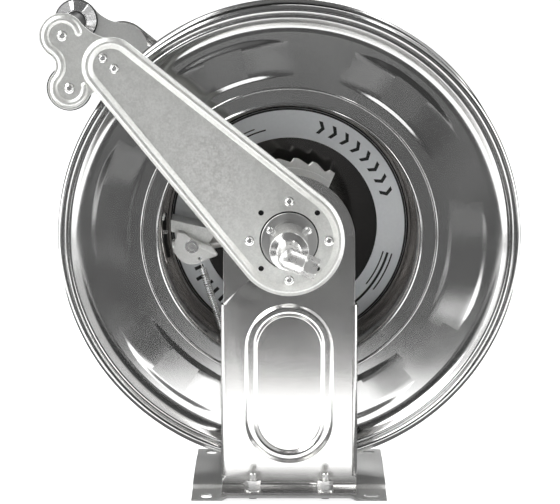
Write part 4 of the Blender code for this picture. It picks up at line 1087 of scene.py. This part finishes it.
def make_inlet():
    """A swivel sleeve with a lathed face, and an elbow from it to a hexagon end."""
    bore, groove, sleeve, face, neck, elbow = 12.8, 15.0, 20.5, -84.0, 11.6, -133.8
    corners = [(bore, -7, 0.3), (sleeve, -7, 0.8), (sleeve, face, 1.1), (neck + 1.2, face - 2.6, 0.8),
               (neck + 0.2, face - 5.5, 0.5), (neck - 2.5, face - 5.5, 0), (neck - 2.5, -20.5, 0),
               (bore, -20.5, 0), (bore, -13.5, 0), (groove, -13.5, 0), (groove, -10.5, 0), (bore, -10.5, 0)]
    lathe("inlet_sleeve", corners, "lathed", "inlet", smooth=32, stands_for=("inlet_elbow",))

    low = face - 5.0
    section = [(0, low), (neck, low)] + arc((0, elbow), neck, 0, -80, 8) + [(0, elbow - neck)]
    body = loose("inlet_elbow_fine", turned(section, 72))
    heading = math.radians(-22)
    along = Vector((math.cos(heading), 0, math.sin(heading)))
    lift = (-along.z, 0, along.x)

    def pipe(rows):
        """A solid along the elbow's outlet, through rings given as a distance and polar points."""
        return loft(bmesh.new(), [ring(Vector((0, elbow, 0)) + along * distance, (0, -1, 0), lift, polar)
                                  for distance, polar in rows])

    def hex_row(distance, limit=None):
        return distance, hexagon(11.6, math.radians(38), 48, limit)

    rows = [(distance, even(radius, 48)) for distance, radius in
            ((-2, 11.5), (15.8, 11.5), (16.4, 11.1), (16.6, 9.4), (17.2, 9.4))]
    rows += [hex_row(17.4, 10.5), hex_row(18.2), hex_row(30.0), hex_row(30.9, 10.6), (31.0, even(7.4, 48))]
    tube = pipe(rows)
    outward = pipe([(-3, even(5.4, 48)), (29, even(5.4, 48)), (36, even(6.4, 48))])
    inward = turned([(0, low + 5), (5, low + 5), (5, elbow), (0, elbow)], 32)
    carve(body, [loose("tube", tube)], "UNION")
    carve(body, [loose("inward", inward), loose("outward", outward)])
    settle(body, "plated", "inlet", smooth=32)
    seal = [(12.7, -13.2, 0.9), (14.7, -13.2, 0.9), (14.7, -10.8, 0.9), (12.7, -10.8, 0.9)]
    lathe("swivel_seal_fine", seal, "rubber", "inlet", 64)


# ---------------------------------------------------------------- rollers

def make_roller(name, centre):
    """A nylon core between two bright flared cones."""
    near, far = SHEET + 0.7, SPAN - SHEET - 0.7
    half = [(24.4, near, 0.6), (24.4, near + 1.6, 0.6), (22.9, near + 1.9, 0), (12.0, near + 1.9, 0),
            (11.0, near + 18, 0.5)]
    other = [(r, near + far - depth, bend) for r, depth, bend in reversed(half)]
    core = rounded([(4.4, near, 0)] + half + other + [(4.4, far, 0)], True, 3)
    finished(name + "_core", turned(core, 72, centre), "plastic", name, stands_for=(name,))
    for end, face, inward in (("front", near + 2.1, 1), ("rear", far - 2.1, -1)):
        profile = [(12.2, 0, 0), (23.0, 0, 0.4), (23.0, 0.8, 0.4), (13.0, 12.0, 0.6), (12.6, 17.0, 0.4),
                   (11.6, 17.0, 0.3)]
        cone = [(radius, face + inward * depth, bend) for radius, depth, bend in profile]
        lathe(f"{name}_cone_{end}", cone, "lathed_cone", name, 72, centre)


# ---------------------------------------------------------------- build

make_base()
make_pedestal("front_pedestal", 0, 1)
make_pedestal("rear_pedestal", SPAN, -1)
make_arm("front_arm", 0, -1, "satin")
make_arm("rear_arm", SPAN, 1, "sheet")
make_bracket("front_roller_bracket", 0, 1, "satin")
# The rear roller bracket takes the darker base finish as painted shade from the drum and the front bracket.
make_bracket("rear_roller_bracket", SPAN, -1, "base")
make_frame_fasteners()
make_flange("front_flange", FRONT_WEB, -1)
make_flange("rear_flange", REAR_WEB, 1)
make_shell()
make_case()
make_label()
make_shaft()
make_housing()
make_arbor_side()
make_pawl_side()
make_inlet()
make_roller("roller_upper", UPPER_ROLLER)
make_roller("roller_lower", LOWER_ROLLER)


# ---------------------------------------------------------------- studio and camera

def area_light(name, location, width, height, power):
    light = bpy.data.lights.new(name, "AREA")
    light.shape = "RECTANGLE"
    light.size, light.size_y = width, height
    light.energy = power
    obj = placed(name, light)
    obj.location = location
    target = AXIS + Vector((0, 0.1, 0))
    obj.rotation_euler = (target - Vector(location)).to_track_quat("-Z", "Y").to_euler()


def make_floor():
    bm = bmesh.new()
    bmesh.ops.create_grid(bm, x_segments=8, y_segments=8, size=30)
    bmesh.ops.translate(bm, verts=bm.verts, vec=(0, 0, AXIS.z + FLOOR * MM - 0.0002))
    floor = placed_mesh("studio_floor", bm)
    made = Shading(bpy.data.materials.new("floor_paper"))
    paper = made.noise(made.coords(), 40)
    made.surface({"Base Color": made.tint(paper, (0.90, 0.90, 0.90), (0.94, 0.94, 0.94)), "Roughness": 0.9,
                  "Emission Color": (1, 1, 1, 1), "Emission Strength": 0.75})
    floor.data.materials.append(made.owner)


def make_flag(name, half_near, half_far, near_y, far_y, height, near_shade, far_shade, ramp_end):
    """A level studio card that only shows in reflections; its shade ramps from near_y to ramp_end."""
    bm = bmesh.new()
    corners = ((-half_near, near_y), (half_near, near_y), (half_far, far_y), (-half_far, far_y))
    bm.faces.new([bm.verts.new((x, AXIS.y + y, height)) for x, y in corners])
    flag = placed_mesh(name, bm)
    made = Shading(bpy.data.materials.new(name + "_cloth"))
    made.nodes.remove(made.nodes["Principled BSDF"])
    split = made.add("SeparateXYZ", {0: made.coords()})
    shade = made.spread(split.outputs["Y"], near_shade, far_shade, AXIS.y + near_y, AXIS.y + ramp_end)
    glow = made.add("Emission", {"Strength": shade})
    made.set(made.nodes["Material Output"], {"Surface": glow.outputs[0]})
    flag.data.materials.append(made.owner)
    flag.visible_camera = flag.visible_diffuse = flag.visible_shadow = False


def make_world():
    """White to the camera; in reflections a white tent with a dark opening in front and one behind."""
    studio = bpy.data.worlds.new("studio")
    bpy.context.scene.world = studio
    made = Shading(studio)
    plain = made.set(made.nodes["Background"], {"Color": (1, 1, 1, 1), "Strength": 1.0})
    split = made.add("SeparateXYZ", {0: made.coords("Generated")})
    front, rear = [made.spread(split.outputs["Y"], 1.0, 0.09, start, end, interpolation_type="SMOOTHSTEP")
                   for start, end in ((-0.50, -0.72), (0.12, 0.50))]
    strength = made.maths("MULTIPLY", made.maths("MULTIPLY", front, rear), 0.9)
    tent = made.add("Background", {"Strength": strength})
    rays = made.add("LightPath", {})
    mix = made.add("MixShader", {0: rays.outputs["Is Camera Ray"], 1: tent.outputs[0], 2: plain.outputs[0]})
    made.set(made.nodes["World Output"], {"Surface": mix.outputs[0]})


def make_studio():
    make_world()
    make_floor()
    ground, height = AXIS.z + FLOOR * MM + 0.001, AXIS.z + 1.2
    for flag in (("front_flag", 2.4, 2.4, -0.63, -14, ground, 0.09, 0.30, -8.652),
                 ("rear_flag", 2.4, 2.4, 0.86, 14, ground, 0.09, 0.30, 8.744),
                 # painted shade: a grey card under the reel shows in reflections as the floor that the reel
                 # shades
                 ("floor_shade_card", 0.8, 0.8, -0.13, 0.36, ground, 0.20, 0.20, 1),
                 ("high_flag", 0.40, 0.80, 0.9, -3.2, height, 0.14, 0.14, -1)):
        make_flag(*flag)
    for light in (("overhead_softbox", (0.0, -0.2, 2.2), 2.2, 1.4, 40),
                  ("key_softbox", (-1.5, -1.6, 1.9), 1.3, 1.3, 31),
                  ("left_softbox", (-2.0, -0.4, 0.9), 0.8, 1.6, 14),
                  ("right_softbox", (2.1, -0.2, 0.9), 0.7, 1.6, 14),
                  ("back_softbox", (0.6, 2.2, 1.7), 1.4, 0.9, 16)):
        area_light(*light)


def make_camera():
    camera = bpy.data.cameras.new("camera")
    camera.lens = 209.0
    camera.sensor_width = 36.0
    camera.clip_end = 60
    obj = placed("camera", camera)
    obj.location = AXIS + Vector((5.2, -3443.7, 484.5)) * MM
    obj.rotation_euler = (math.radians(90 - 8.21), 0, math.radians(0.25))
    bpy.context.scene.camera = obj


make_studio()
make_camera()
bpy.context.scene.view_settings.view_transform = "Standard"
